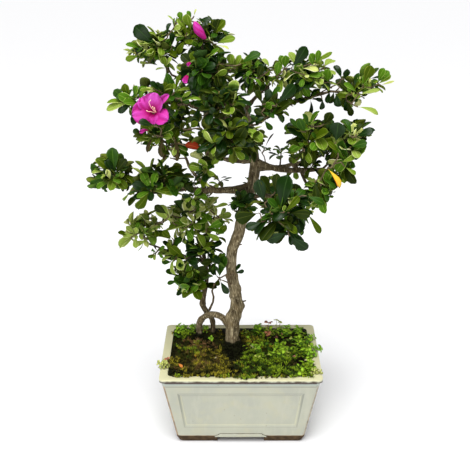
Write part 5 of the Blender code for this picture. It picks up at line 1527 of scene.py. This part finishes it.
def potShell():
    # rings from the feet up over the rim and down the inside, with a sunken panel on each wall
    v = potValues
    wallTop = v["height"] - v["rimHeight"] - v["coveHeight"]
    rimFoot, edge = v["height"] - v["rimHeight"], v["wallInsetTop"]
    lines = [(v["footInset"], 0.0), (v["wallInsetFoot"], v["footHeight"])]
    lines += [(wallInset(z), z) for z in (v["clayTop"], v["clayTop"] + 0.001, wallTop - 0.0015)] + [(edge, wallTop)]
    lines += [(edge * (0.1 + 0.82 * cos(t)), wallTop + v["coveHeight"] * sin(t))
              for t in np.linspace(0.12, pi / 2, 6)]
    lines += [(0.0, rimFoot + 0.0003), (0.0, rimFoot + 0.0011), (0.0, v["height"]), (v["rimWidth"], v["height"]),
              (wallInset(v["floorTop"]) + v["wall"], v["floorTop"])]
    rings = [potOutline(inset, z) for inset, z in lines]
    pot = meshObject("potShell", [p for ring in rings for p in ring], tubeFaces(len(rings[0]), len(rings)))
    shape = bmesh.new()
    shape.from_mesh(pot.data)
    walls = [f for f in shape.faces if f.calc_area() > 0.004 and abs(f.normal.z) < 0.5
             and 0.02 < f.calc_center_median().z < 0.08 and f.normal.dot(f.calc_center_median()) > 0.03]
    for inward, deep in ((-v["panelBand"], 0), (-v["panelGuard"], 0), (0, 0), (v["panelBevel"], v["panelDepth"]),
                         (v["panelBevel"] + v["panelGuard"], v["panelDepth"])):
        bmesh.ops.inset_individual(shape, faces=walls, thickness=0.001)
        for wall in walls:
            for vert in wall.verts:
                high = vert.co.z > (v["panelTop"] + v["panelFoot"]) / 2
                z = v["panelTop"] - inward if high else v["panelFoot"] + inward
                side = v["corner"] + inward + (v["panelSideTop"] if high else v["panelSideFoot"])
                alongX = abs(wall.normal.y) > abs(wall.normal.x)
                x = v["length"] / 2 - wallInset(z) - (side if alongX else deep)
                y = v["width"] / 2 - wallInset(z) - (deep if alongX else side)
                vert.co = (copysign(x, vert.co.x), copysign(y, vert.co.y), z)
    shape.to_mesh(pot.data)
    shape.free()
    return pot


def cutFeet(pot):
    # cuts the gaps between the feet and eases every sharp edge
    v = potValues
    reach, top = v["length"], v["cutDepth"]
    innerX, innerY = v["length"] / 2 - v["footInset"], v["width"] / 2 - v["footInset"]
    gapX, gapY = innerX * v["footGapShare"], innerY * v["footGapShare"]
    innerX, innerY = innerX - v["footThickness"], innerY - v["footThickness"]
    cutters = [boxShape("gapFront", (-gapX, -reach, -reach), (gapX, reach, top)),
               boxShape("gapSide", (-reach, -gapY, -reach), (reach, gapY, top)),
               boxShape("gapUnder", (-innerX, -innerY, -reach), (innerX, innerY, top))]
    for cutter in cutters:
        boolean = pot.modifiers.new(cutter.name, "BOOLEAN")
        boolean.operation, boolean.object = "DIFFERENCE", cutter
    ready = bpy.context.evaluated_depsgraph_get()
    mesh = bpy.data.meshes.new_from_object(pot.evaluated_get(ready))
    for old in [pot, *cutters]:
        bpy.data.objects.remove(old, do_unlink=True)
    shape = bmesh.new()
    shape.from_mesh(mesh)
    bmesh.ops.remove_doubles(shape, verts=shape.verts, dist=1e-6)
    sharp = [e for e in shape.edges if e.is_manifold and e.calc_face_angle(0) > radians(17)]
    bmesh.ops.bevel(shape, geom=sharp, offset=v["edge"], segments=v["edgeSteps"], profile=0.5, affect="EDGES",
                    clamp_overlap=True)
    shape.to_mesh(mesh)
    shape.free()
    shadeSmooth(mesh, 40)
    return mesh


def paintGlaze(mesh):
    # where the glaze is thin, creamy, pooled or rusty, and the painted shade of the cove under the rim; with painted
    # shadow under the rim, painted light on its top, and painted shade and highlights along the panels
    v = potValues
    wallTop = v["height"] - v["rimHeight"] - v["coveHeight"]
    rimFoot = v["height"] - v["rimHeight"]
    near = 0.0009            # half width of a mark along an edge
    marks = {name: np.zeros(len(mesh.vertices)) for name in ("thinAndShadow", "creamAndHighlight", "coveShade", "poolAndShade", "rust")}
    thinAndShadow, creamAndHighlight, coveShade, poolAndShade, rust = marks.values()
    for k, vert in enumerate(mesh.vertices):
        x, y, z = vert.co
        inset = wallInset(z)
        # how far inside the faces of the walls
        outX, outY = v["length"] / 2 - inset - abs(x), v["width"] / 2 - inset - abs(y)
        cornerX = abs(x) - (v["length"] / 2 - inset - v["corner"])
        cornerY = abs(y) - (v["width"] / 2 - inset - v["corner"])
        rimSide = max(abs(x) - v["length"] / 2, abs(y) - v["width"] / 2) > -0.002
        # a brown line where the glaze breaks at the rim's lower edge, and painted shadow under the rim, darkest just
        # beneath it
        if rimFoot - 0.0022 < z < rimFoot + 0.0012 and rimSide:
            thinAndShadow[k] = 3.0 if z < rimFoot + 0.001 else 0.8
        elif z < v["clayTop"] + 0.0004:
            thinAndShadow[k], rust[k] = 0.55, 1.0
        elif z < wallTop and cornerX > 0 and cornerY > 0 and abs(atan2(cornerY, cornerX) - pi / 4) < 0.25:
            thinAndShadow[k], rust[k] = 0.3, 0.75 if x < 0 else 0.35
        # painted shade along the joint of the cove and the wall
        elif abs(z - wallTop) < 0.0003 and min(outX, outY) < 0.001:
            poolAndShade[k] = 1.1
        # cream glaze on the rim's top, which is also painted lighter there for the light falling on it
        if z > rimFoot + 0.0013:
            creamAndHighlight[k] = 1.0
        # painted shade: a darker, bluer glaze over the cove under the rim
        elif z > wallTop + 0.0012:
            coveShade[k] = 0.9
        climb = (z - v["panelFoot"]) / (v["panelTop"] - v["panelFoot"])
        fromSide = max(outX, outY) - v["corner"] - v["panelSideFoot"] + (v["panelSideFoot"] - v["panelSideTop"]) * climb
        fromTop, fromFoot = v["panelTop"] - z, z - v["panelFoot"]
        fromFrame = min(fromSide, fromTop, fromFoot)
        # painted shade and painted highlights along the sunken panels, with pooled glaze in their grooves: above the
        # top a highlight band and shade at the top slope's foot; at the foot faint shade on the crest and a faint
        # highlight at the slope's foot; at the sides shade on the crest, darker higher up, and a highlight at the
        # slope's foot
        if min(outX, outY) < 0.0035 and -0.005 < fromFrame < v["panelBevel"] + near:
            crest, slopeFoot = abs(fromFrame) < near, abs(fromFrame - v["panelBevel"]) < near
            if fromTop == fromFrame:
                creamAndHighlight[k] = 0.4 * (abs(fromFrame + v["panelBand"]) < 0.0004)
                poolAndShade[k] = 0.35 * slopeFoot
            elif fromFoot == fromFrame:
                poolAndShade[k] = 0.25 * crest
                creamAndHighlight[k] = 0.12 * slopeFoot
            else:
                poolAndShade[k] = (0.5 + 0.8 * climb) * crest
                creamAndHighlight[k] = 0.4 * slopeFoot
    for label, values in marks.items():
        storeValues(mesh, label, values)


def makePot():
    v = potValues
    mesh = cutFeet(potShell())
    paintGlaze(mesh)
    glaze = glazeFinish()
    for finish in (glaze, clayFinish("bareClay", v["clay"]), clayFinish("potInside", v["inside"])):
        mesh.materials.append(finish)
    for face in mesh.polygons:
        centre, normal = face.center, face.normal
        inner = normal.x * centre.x + normal.y * centre.y < 0 or centre.z < v["floorTop"] + 0.001 and normal.z > 0.5
        if centre.z < v["clayTop"] - 0.0004 or (centre.z < v["clayTop"] + 0.001 and normal.z < -0.5):
            face.material_index = 1
        elif inner and v["floorTop"] - 0.001 < centre.z < v["height"] - 0.0012 and wallRoom(centre) > 0.003:
            face.material_index = 2
    mesh.name = "glazedPot"
    finishPiece(addObject("glazedPot", mesh), ["pot"])
    apronMouldings(glaze)
    print("pot is glazed")


# soil, moss and weeds

soilValues = {
    "columns": 170, "rows": 122, "halfX": 0.0895, "halfY": 0.0645, "corner": 0.0058, "drop": 0.005,
    "cushion": 0.0052, "cushionWidth": 0.0105, "fine": 0.0009, "depth": 0.02, "stemRadii": (0.0004, 0.00025),
    "sprig": (6, 0.004, 0.85, 0.00038),      # spikes, height, lean, thickness
    "weed": (4, 0.0062, 16),                 # leaves, their length and rise in degrees
    "soil": (0.014, 0.012, 0.004), "soilDark": (0.006, 0.005, 0.002), "soilLight": (0.03, 0.026, 0.007),
    "soilGreen": (0.026, 0.032, 0.004), "soilWet": (0.004, 0.004, 0.0015), "weedStem": (0.2, 0.17, 0.06),
    # mounds of dark wet earth round the stems, in mm: x, y, width, height
    "mounds": [(-7, 13, 19, 7.5), (-48, 42, 13, 3.5), (2, -45, 30, 3)],
    # patches of each plant and of bare ground, in mm: x, y, half sizes, weight
    "patches": {
        "olive": [(-62, -30, 34, 44, 1.3), (14, 26, 18, 20, 1.0), (-30, -52, 26, 22, 1.0),
            (-28, -34, 22, 30, 0.9), (-30, 45, 20, 14, 0.6)],
        "green": [(30, -34, 26, 30, 1.3), (10, -42, 20, 28, 1.2), (70, -50, 32, 22, 1.4), (-76, 50, 14, 16, 1.0),
            (60, 0, 32, 34, 1.0), (-74, 4, 16, 18, 0.8), (30, 50, 24, 16, 0.9)],
        "brown": [(-52, 16, 20, 16, 1.3), (-40, -24, 18, 22, 0.6), (-64, -50, 26, 18, 0.6),
            (50, 37, 22, 18, 0.6), (77, -23, 18, 10, 0.6), (-20, -52, 20, 18, 0.5)],
        "weed": [(30, 56, 24, 12, 1.3), (74, 30, 24, 38, 1.4), (-76, 56, 14, 12, 1.5), (52, -4, 24, 22, 0.9),
            (86, -42, 10, 24, 1.0), (20, 6, 12, 12, 0.6), (-60, 26, 10, 7, 0.7)],
    },
    "bare": [(-8.5, 4, 12.5, 17, 1.7), (-11, -30, 10, 20, 0.85), (-10, -54, 9, 12, 0.6), (-70, -58, 20, 7, 0.7),
        (-55, 36, 15, 8, 1.0), (52, 36, 15, 12, 0.9), (78, -22, 14, 7, 1.0), (-28, -56, 16, 12, 0.7),
        (-38, 4, 8, 10, 0.6), (20, -60, 12, 6, 0.5), (-86, -20, 5, 40, 0.6)],
    # layers: shape, patch, on the cushions or all over, plants per square metre, smallest, largest, lean, colour
    "layers": {
        # the lighter moss grows only on the cushions' tops, and is partly painted light on the tops
        "mossOliveLight": ("sprig", "olive", "tops", 95000, 0.6, 1.3, 0.45, (0.4, 0.34, 0.025)),
        "mossOliveDeep": ("sprig", "olive", "all", 140000, 0.6, 1.2, 0.55, (0.07, 0.062, 0.007)),
        "mossGreenLight": ("sprig", "green", "tops", 100000, 0.6, 1.4, 0.45, (0.3, 0.44, 0.018)),
        "mossGreenDeep": ("sprig", "green", "all", 120000, 0.6, 1.3, 0.55, (0.046, 0.09, 0.006)),
        "mossDark": ("sprig", "dark", "all", 110000, 0.5, 1.1, 0.55, (0.016, 0.018, 0.004)),
        "mossBrown": ("sprig", "brown", "all", 80000, 0.6, 1.5, 0.6, (0.19, 0.11, 0.036)),
        "weedBright": ("weed", "weed", "all", 22000, 0.6, 1.25, 0.45, (0.35, 0.58, 0.032)),
        "weedDeep": ("weed", "weed", "all", 20000, 0.55, 1.15, 0.5, (0.07, 0.17, 0.009)),
        "weedYellow": ("weed", "weed", "all", 10000, 0.5, 1.0, 0.4, (0.52, 0.6, 0.11)),
    },
    # clumps of weeds that stand or hang out, in mm: foot, way from foot to tip, stems, leaf length, colour
    "clumps": [
        ((26, 60), (0, 3, 7), 4, 6, "bright"), ((37, 60), (1, 4, 12), 1, 7, "pink"),
        ((50, 59), (1, 6, 14), 2, 4.5, "pale"), ((60, 58), (2, 4, 8), 3, 5.5, "bright"),
        ((74, 56), (4, 3, 5), 4, 5.5, "bright"), ((86, 0), (14, 0, 6), 4, 6.5, "bright"),
        ((86, -12), (10, -2, 5), 3, 6, "bright"), ((86, -52), (11.5, -4, 4), 3, 5.5, "pale"),
        ((85, 30), (10, 2, 6), 3, 5.5, "bright"), ((-86, -38), (-11, -3, 5), 4, 6, "pale"),
        ((-85, -30), (-9, 0, 7), 1, 5, "pink"), ((-76, 57), (-3, 3, 6), 5, 5.8, "bright"),
        ((-64, 57), (1, 3, 8), 4, 5.5, "bright"), ((-46, 50), (0, 0, 10), 2, 5, "bright"),
        ((-35, 36), (1, -4, 7), 1, 5, "bright"), ((18, 10), (1, -3, 4), 3, 5.5, "bright"),
        ((42, 46), (0, 1, 5), 1, 6.5, "pink")],
    "weedTints": {"bright": (0.28, 0.52, 0.035), "pale": (0.52, 0.56, 0.15), "pink": (0.52, 0.2, 0.11)},
    # shed leaves, in mm: middle, heading in degrees, length, width, colour
    "shedLeaves": {
        "orangeDead": ((0.56, 0.2, 0.04), [((-75.5, -43.7, 103.5), -60, 10.5, 0.9),
            ((-57, -21, 104), 75, 6, 0.6)]),
        "pinkDead": ((0.4, 0.17, 0.11), [((47, 36, 101), 20, 7.5, 1.1), ((40, 46, 101), 130, 7, 1.1),
            ((56, 44, 102), 70, 6.5, 1.0), ((-93, -36, 102.5), 200, 5, 1.0), ((62, 30, 101), -40, 6, 1.1),
            ((68, -18, 102), 15, 6, 1.0)]),
        "paleDead": ((0.56, 0.48, 0.28), [((-31.5, -24, 103), 30, 5, 1.2), ((-56, 29, 101), 170, 6.5, 0.9),
            ((14, 5, 104.5), -50, 7, 0.8), ((82, -28, 102), 10, 5, 1.2)]),
        "brownDead": ((0.17, 0.085, 0.035), [((-48, 15, 102), 10, 8, 0.8), ((-60, 12, 102), 160, 7.5, 0.8),
            ((-42, 6, 103), 60, 7, 0.7), ((50, 28, 101), 110, 7, 0.9)]),
    },
}


def patchSum(x, y, patches):
    total = 0
    for *sizes, weight in patches:
        px, py, rx, ry = inMetres(sizes)
        total = total + weight * np.exp(-((x - px) / rx) ** 2 - ((y - py) / ry) ** 2)
    return total


def cushions(x, y):
    # rounded moss cushions with creases between, 0 to 1
    spots = placesAt(x, y, 0.37)
    width = soilValues["cushionWidth"]
    billow = 1 - np.abs(softNoise(spots / width, 5)) * 1.5 - 0.35 * np.abs(softNoise(spots / width * 2.3, 6))
    return np.clip(billow, 0, 1).reshape(x.shape)


def soilHeight(x, y):
    v = soilValues
    to = np.minimum((0.09 - np.abs(x)) / 0.02, (0.065 - np.abs(y)) / 0.018)
    edge = v["drop"] * (1 - np.clip(to, 0, 1)) * np.clip(0.2 + y / 0.09, -0.25, 0.8)    # swells over the front rim
    height = groundLevel - 0.0022 - edge + v["cushion"] * (cushions(x, y) - 0.35)
    spots = placesAt(x, y, 0)
    rough = softNoise(spots * 420, 6) + 0.5 * softNoise(spots * 900, 7)
    height = height + v["fine"] * rough.reshape(x.shape)
    for px, py, width, tall in inMetres(v["mounds"]):
        height = height + tall * np.exp(-((x - px) ** 2 + (y - py) ** 2) / width ** 2)
    return height


def groundFinish():
    v = soilValues
    return layeredMaterial("darkSoil", v["soil"], 0.95, [
        ((320, 5.0), v["soilLight"]), ((90, 3.0, None, 0.45, 0.62), v["soilGreen"]), ("wetAndShade", v["soilWet"])],
        ((1400, 4.0), 0.6, 0.0006), v["soilDark"], 0.05)


def sprigShape(blades, height, spreadOut, thick, rng):
    # closed spikes that lean out from one foot
    vertices, faces = [], []
    for k in range(blades):
        angle = 2 * pi * (k + rng.uniform(-0.3, 0.3)) / blades
        lean = spreadOut * rng.uniform(0.4, 1.1)
        tall = height * rng.uniform(0.6, 1.15)
        out, side = np.array([cos(angle), sin(angle), 0]), np.array([-sin(angle), cos(angle), 0]) * thick
        foot = out * thick * 1.2
        tip = foot + (out * lean + np.array([0, 0, 1.0])) * tall
        middle = (foot + tip) / 2 + (np.array([0, 0, 0.3]) - out) * tall * 0.08
        s = len(vertices)
        vertices += [foot + side, foot - side, foot + out * thick * 0.7,
                     middle + side * 1.2, middle - side * 1.2, middle + out * thick * 0.7, tip]
        faces += [(s, s + 1, s + 4, s + 3), (s + 1, s + 2, s + 5, s + 4), (s + 2, s, s + 3, s + 5),
                  (s + 3, s + 4, s + 6), (s + 4, s + 5, s + 6), (s + 5, s + 3, s + 6), (s + 2, s + 1, s)]
    return vertices, faces, {}


def roundLeaf():
    # a small closed oval leaf of length 1 along +X, face up
    wide, droop = 0.72, 0.22
    half = [(0.0, 0.04), (0.3, 0.3), (0.62, 0.5), (0.9, 0.3)]
    outline = half + [(1.0, 0.0)] + [(x, -y) for x, y in reversed(half)]
    vertices = [(x, y * wide, -droop * x * x + abs(y) * 0.22) for x, y in outline]
    n = len(outline)
    vertices += [(0.55, 0, -droop * 0.3), (0.55, 0, -droop * 0.3 - 0.07)]
    faces = [(k, n, (k + 1) % n) for k in range(n)] + [((k + 1) % n, n + 1, k) for k in range(n)]
    return vertices, faces, {}


def weedShape(leaves, length, rise, rng):
    # leaves round a short stem
    vertices, faces = [], []
    leaf, corners, _ = roundLeaf()
    for k in range(leaves):
        angle = 2.4 * k + rng.uniform(-0.3, 0.3)
        tilt = radians(rise + rng.uniform(-20, 20))
        out, side = np.array([cos(angle), sin(angle), 0.0]), np.array([-sin(angle), cos(angle), 0.0])
        along = out * cos(tilt) + np.array([0, 0, sin(tilt)])
        up = np.cross(along, side)
        size = length * rng.uniform(0.65, 1.15)
        root = np.array([0, 0, length * 0.22 * k])
        faces += [tuple(len(vertices) + c for c in face) for face in corners]
        vertices += [root + (along * x + side * y + up * z) * size for x, y, z in leaf]
    return vertices, faces, {}


def coverOf(places, patch, where):
    # how thick a plant of the ground grows at each place, on the soil and on the rim's top
    v = soilValues
    x, y = places[:, 0], places[:, 1]
    spots = placesAt(x, y, 0)
    ragged = softNoise(spots * 70, 21) + 0.6 * softNoise(spots * 160, 22)
    bare = patchSum(x, y, v["bare"])
    if patch == "dark":
        cover = bare * 0.8 + 0.16
    else:
        cover = patchSum(x, y, v["patches"][patch]) * (0.85 + 0.5 * ragged) - bare * (0.9 + 0.3 * ragged)
    swell = cushions(x, y) + 0.22 * ragged
    cover = cover * (shareBetween(swell, 0.38, 0.66) if where == "tops" else 0.3 + 0.7 * shareBetween(swell, 0.12, 0.4))
    # two tongues reach further, over the front rim and over the right one
    tongue = 0.0055 * np.exp(-((x - 0.004) / 0.017) ** 2)
    front = shareBetween(0.0685 + 0.0018 * ragged + tongue + y, 0.0, 0.0012)
    tongue = 0.0045 * np.exp(-((y + 0.002) / 0.014) ** 2) * (x > 0)
    sides = shareBetween(0.0905 + 0.0022 * ragged + tongue - np.abs(x), 0.0, 0.001)
    cover = np.where(y < -0.065, cover * front + 0.3 * front * (patch in ("olive", "green", "dark")), cover)
    cover = np.where(np.abs(x) > 0.09, cover * sides, cover)
    return np.clip(cover, 0, 1)


def makeSoil():
    # the filling of the pot; gives back the points of its top
    v = soilValues
    halfX, halfY, corner, columns, rows = (v[key] for key in ("halfX", "halfY", "corner", "columns", "rows"))
    x, y = np.meshgrid(np.linspace(-halfX, halfX, columns), np.linspace(-halfY, halfY, rows))
    outX, outY = np.abs(x) - (halfX - corner), np.abs(y) - (halfY - corner)
    far = np.hypot(outX, outY)
    atCorner = (outX > 0) & (outY > 0)
    pull = np.where(atCorner & (far > corner), corner / np.maximum(far, 1e-9), 1.0)
    x = np.where(atCorner, np.sign(x) * (halfX - corner + outX * pull), x)
    y = np.where(atCorner, np.sign(y) * (halfY - corner + outY * pull), y)
    top = placesAt(x, y, soilHeight(x, y))
    border = ([c for c in range(columns)] + [r * columns + columns - 1 for r in range(1, rows)]
              + [(rows - 1) * columns + c for c in range(columns - 2, -1, -1)]
              + [r * columns for r in range(rows - 2, 0, -1)])
    low = top[border] * (0.985, 0.98, 0) + (0, 0, groundLevel - v["depth"])
    start, count = len(top), len(border)
    faces = gridFaces(columns, rows)
    for k in range(count):
        after = (k + 1) % count
        faces.append((border[after], border[k], start + k, start + after))
    faces.append(tuple(start + k for k in reversed(range(count))))
    wetAndShade = np.clip(patchSum(top[:, 0], top[:, 1], v["bare"]) * 1.4 - 0.2, 0, 1)
    part = (np.vstack([top, low]), faces, np.concatenate([wetAndShade, np.ones(count)]))
    finishPiece(joinParts("mossySoil", [part], ("wetAndShade",), groundFinish()), ["soil"])
    return top


def coverSoil(top, rng):
    # moss and small weeds on the soil, and where they creep over the rim
    v = soilValues
    strips = [(np.linspace(-0.088, 0.088, 140), np.linspace(-0.0742, -0.065, 9))]
    strips += [(np.linspace(*ends, 8), np.linspace(-0.062, 0.05, 90)) for ends in ((0.09, 0.0985), (-0.0985, -0.09))]
    base, faces = top, gridFaces(v["columns"], v["rows"])
    for xs, ys in strips:
        faces += gridFaces(len(xs), len(ys), len(base))
        base = np.vstack([base, placesAt(*np.meshgrid(xs, ys), groundLevel + 0.0001)])
    tree = scatterTree()
    shapes = {kind: shapeCollection(kind, [shape(*v[kind], rng) for _ in range(4)])
              for kind, shape in (("sprig", sprigShape), ("weed", weedShape))}
    for k, (name, (shape, patch, where, density, small, large, lean, colour)) in enumerate(v["layers"].items()):
        holder = meshObject(name + "Base", base, faces)
        storeValues(holder.data, "cover", coverOf(base, patch, where))
        finishPiece(grownMesh(name, holder, tree, {
            "Shapes": shapes[shape], "Density": float(density), "Smallest": small, "Largest": large, "Lean": lean,
            "Seed": 11 + k, "Finish": newMaterial(name, colour, 0.65)}))
    for group in shapes.values():
        dropCollection(group)


def makeTallWeeds(tree, rng):
    v = soilValues
    leaf = shapeCollection("weedLeaf", [roundLeaf()])
    stems, rowsByTint = [], {tint: [] for tint in v["weedTints"]}
    for place, way, count, length, tint in v["clumps"]:
        (footX, footY), way, length = inMetres(place), inMetres(way), float(inMetres(length))
        for _ in range(count):
            foot = np.array([footX + rng.uniform(-0.0035, 0.0025), footY + rng.uniform(-0.004, 0.002),
                             groundLevel - 0.003])
            tip = foot + way * rng.uniform(0.55, 1.05) + np.array([rng.uniform(-0.003, 0.003),
                                                                   rng.uniform(-0.003, 0.001), 0.003])
            path = bendTwig(foot, np.array([0, 0, 1.0]), tip, unit(tip - foot), 5)
            stems.append((path, np.linspace(*v["stemRadii"], len(path))))
            axis = unit(path[-1] - path[-2])
            across = unit(np.cross(axis, (0.3, 0.8, 0.1)))
            for k in range(7):
                angle = 2.4 * k + rng.uniform(-0.3, 0.3)
                side = cos(angle) * across + sin(angle) * np.cross(axis, across)
                tilt = radians(rng.uniform(50, 100))
                along = axis * cos(tilt) + side * sin(tilt)
                facing = axis * sin(tilt) - side * cos(tilt) + rng.normal(0, 0.35, 3) + (0, -0.25, 0.15)
                facing = squareTo(facing, along)
                turn = turnOf(along, np.cross(facing, along), facing)
                size = length * rng.uniform(0.6, 1.05)
                rowsByTint[tint].append((path[-1] if k < 5 else path[-3], turn, (size, size, size), 0))
    chainPiece("weedStems", stems, newMaterial("weedStem", v["weedStem"], 0.7), 5)
    for tint, rows in rowsByTint.items():
        finish = newMaterial(tint + "Weed", v["weedTints"][tint], 0.6)
        finishPiece(sprayPiece("tallWeeds" + tint.title(), rows, leaf, tree, finish))
    dropCollection(leaf)


def makeShedLeaves(tree):
    shapes = shapeCollection("shedShape", [leafShape(20, -40, 0.5, 0.1, 1.0)])
    sky = np.array([0.1, -0.4, 1.0])
    for name, (colour, leaves) in soilValues["shedLeaves"].items():
        rows = []
        for place, heading, length, wide in leaves:
            length = float(inMetres(length))
            along = unit([cos(radians(heading)), sin(radians(heading)), 0.1])
            facing = squareTo(sky, along)
            turn = turnOf(along, np.cross(facing, along), facing)
            rows.append((inMetres(place) - along * length / 2, turn, (length, length * wide, length), 0))
        finish = newMaterial(name, colour, 0.7)
        darker = newMaterial(name + "Edge", tuple(c * 0.6 for c in colour), 0.7)
        finishPiece(sprayPiece(name, rows, shapes, tree, finish, darker, darker, darker))
    dropCollection(shapes)


def makeGround():
    top = makeSoil()
    rng = np.random.default_rng(8)
    coverSoil(top, rng)
    tree = sprayTree()
    makeTallWeeds(tree, rng)
    makeShedLeaves(tree)
    print("ground is covered")


setUpView()
makeBark()
makeBlossom(makeFoliage())
makePot()
makeGround()
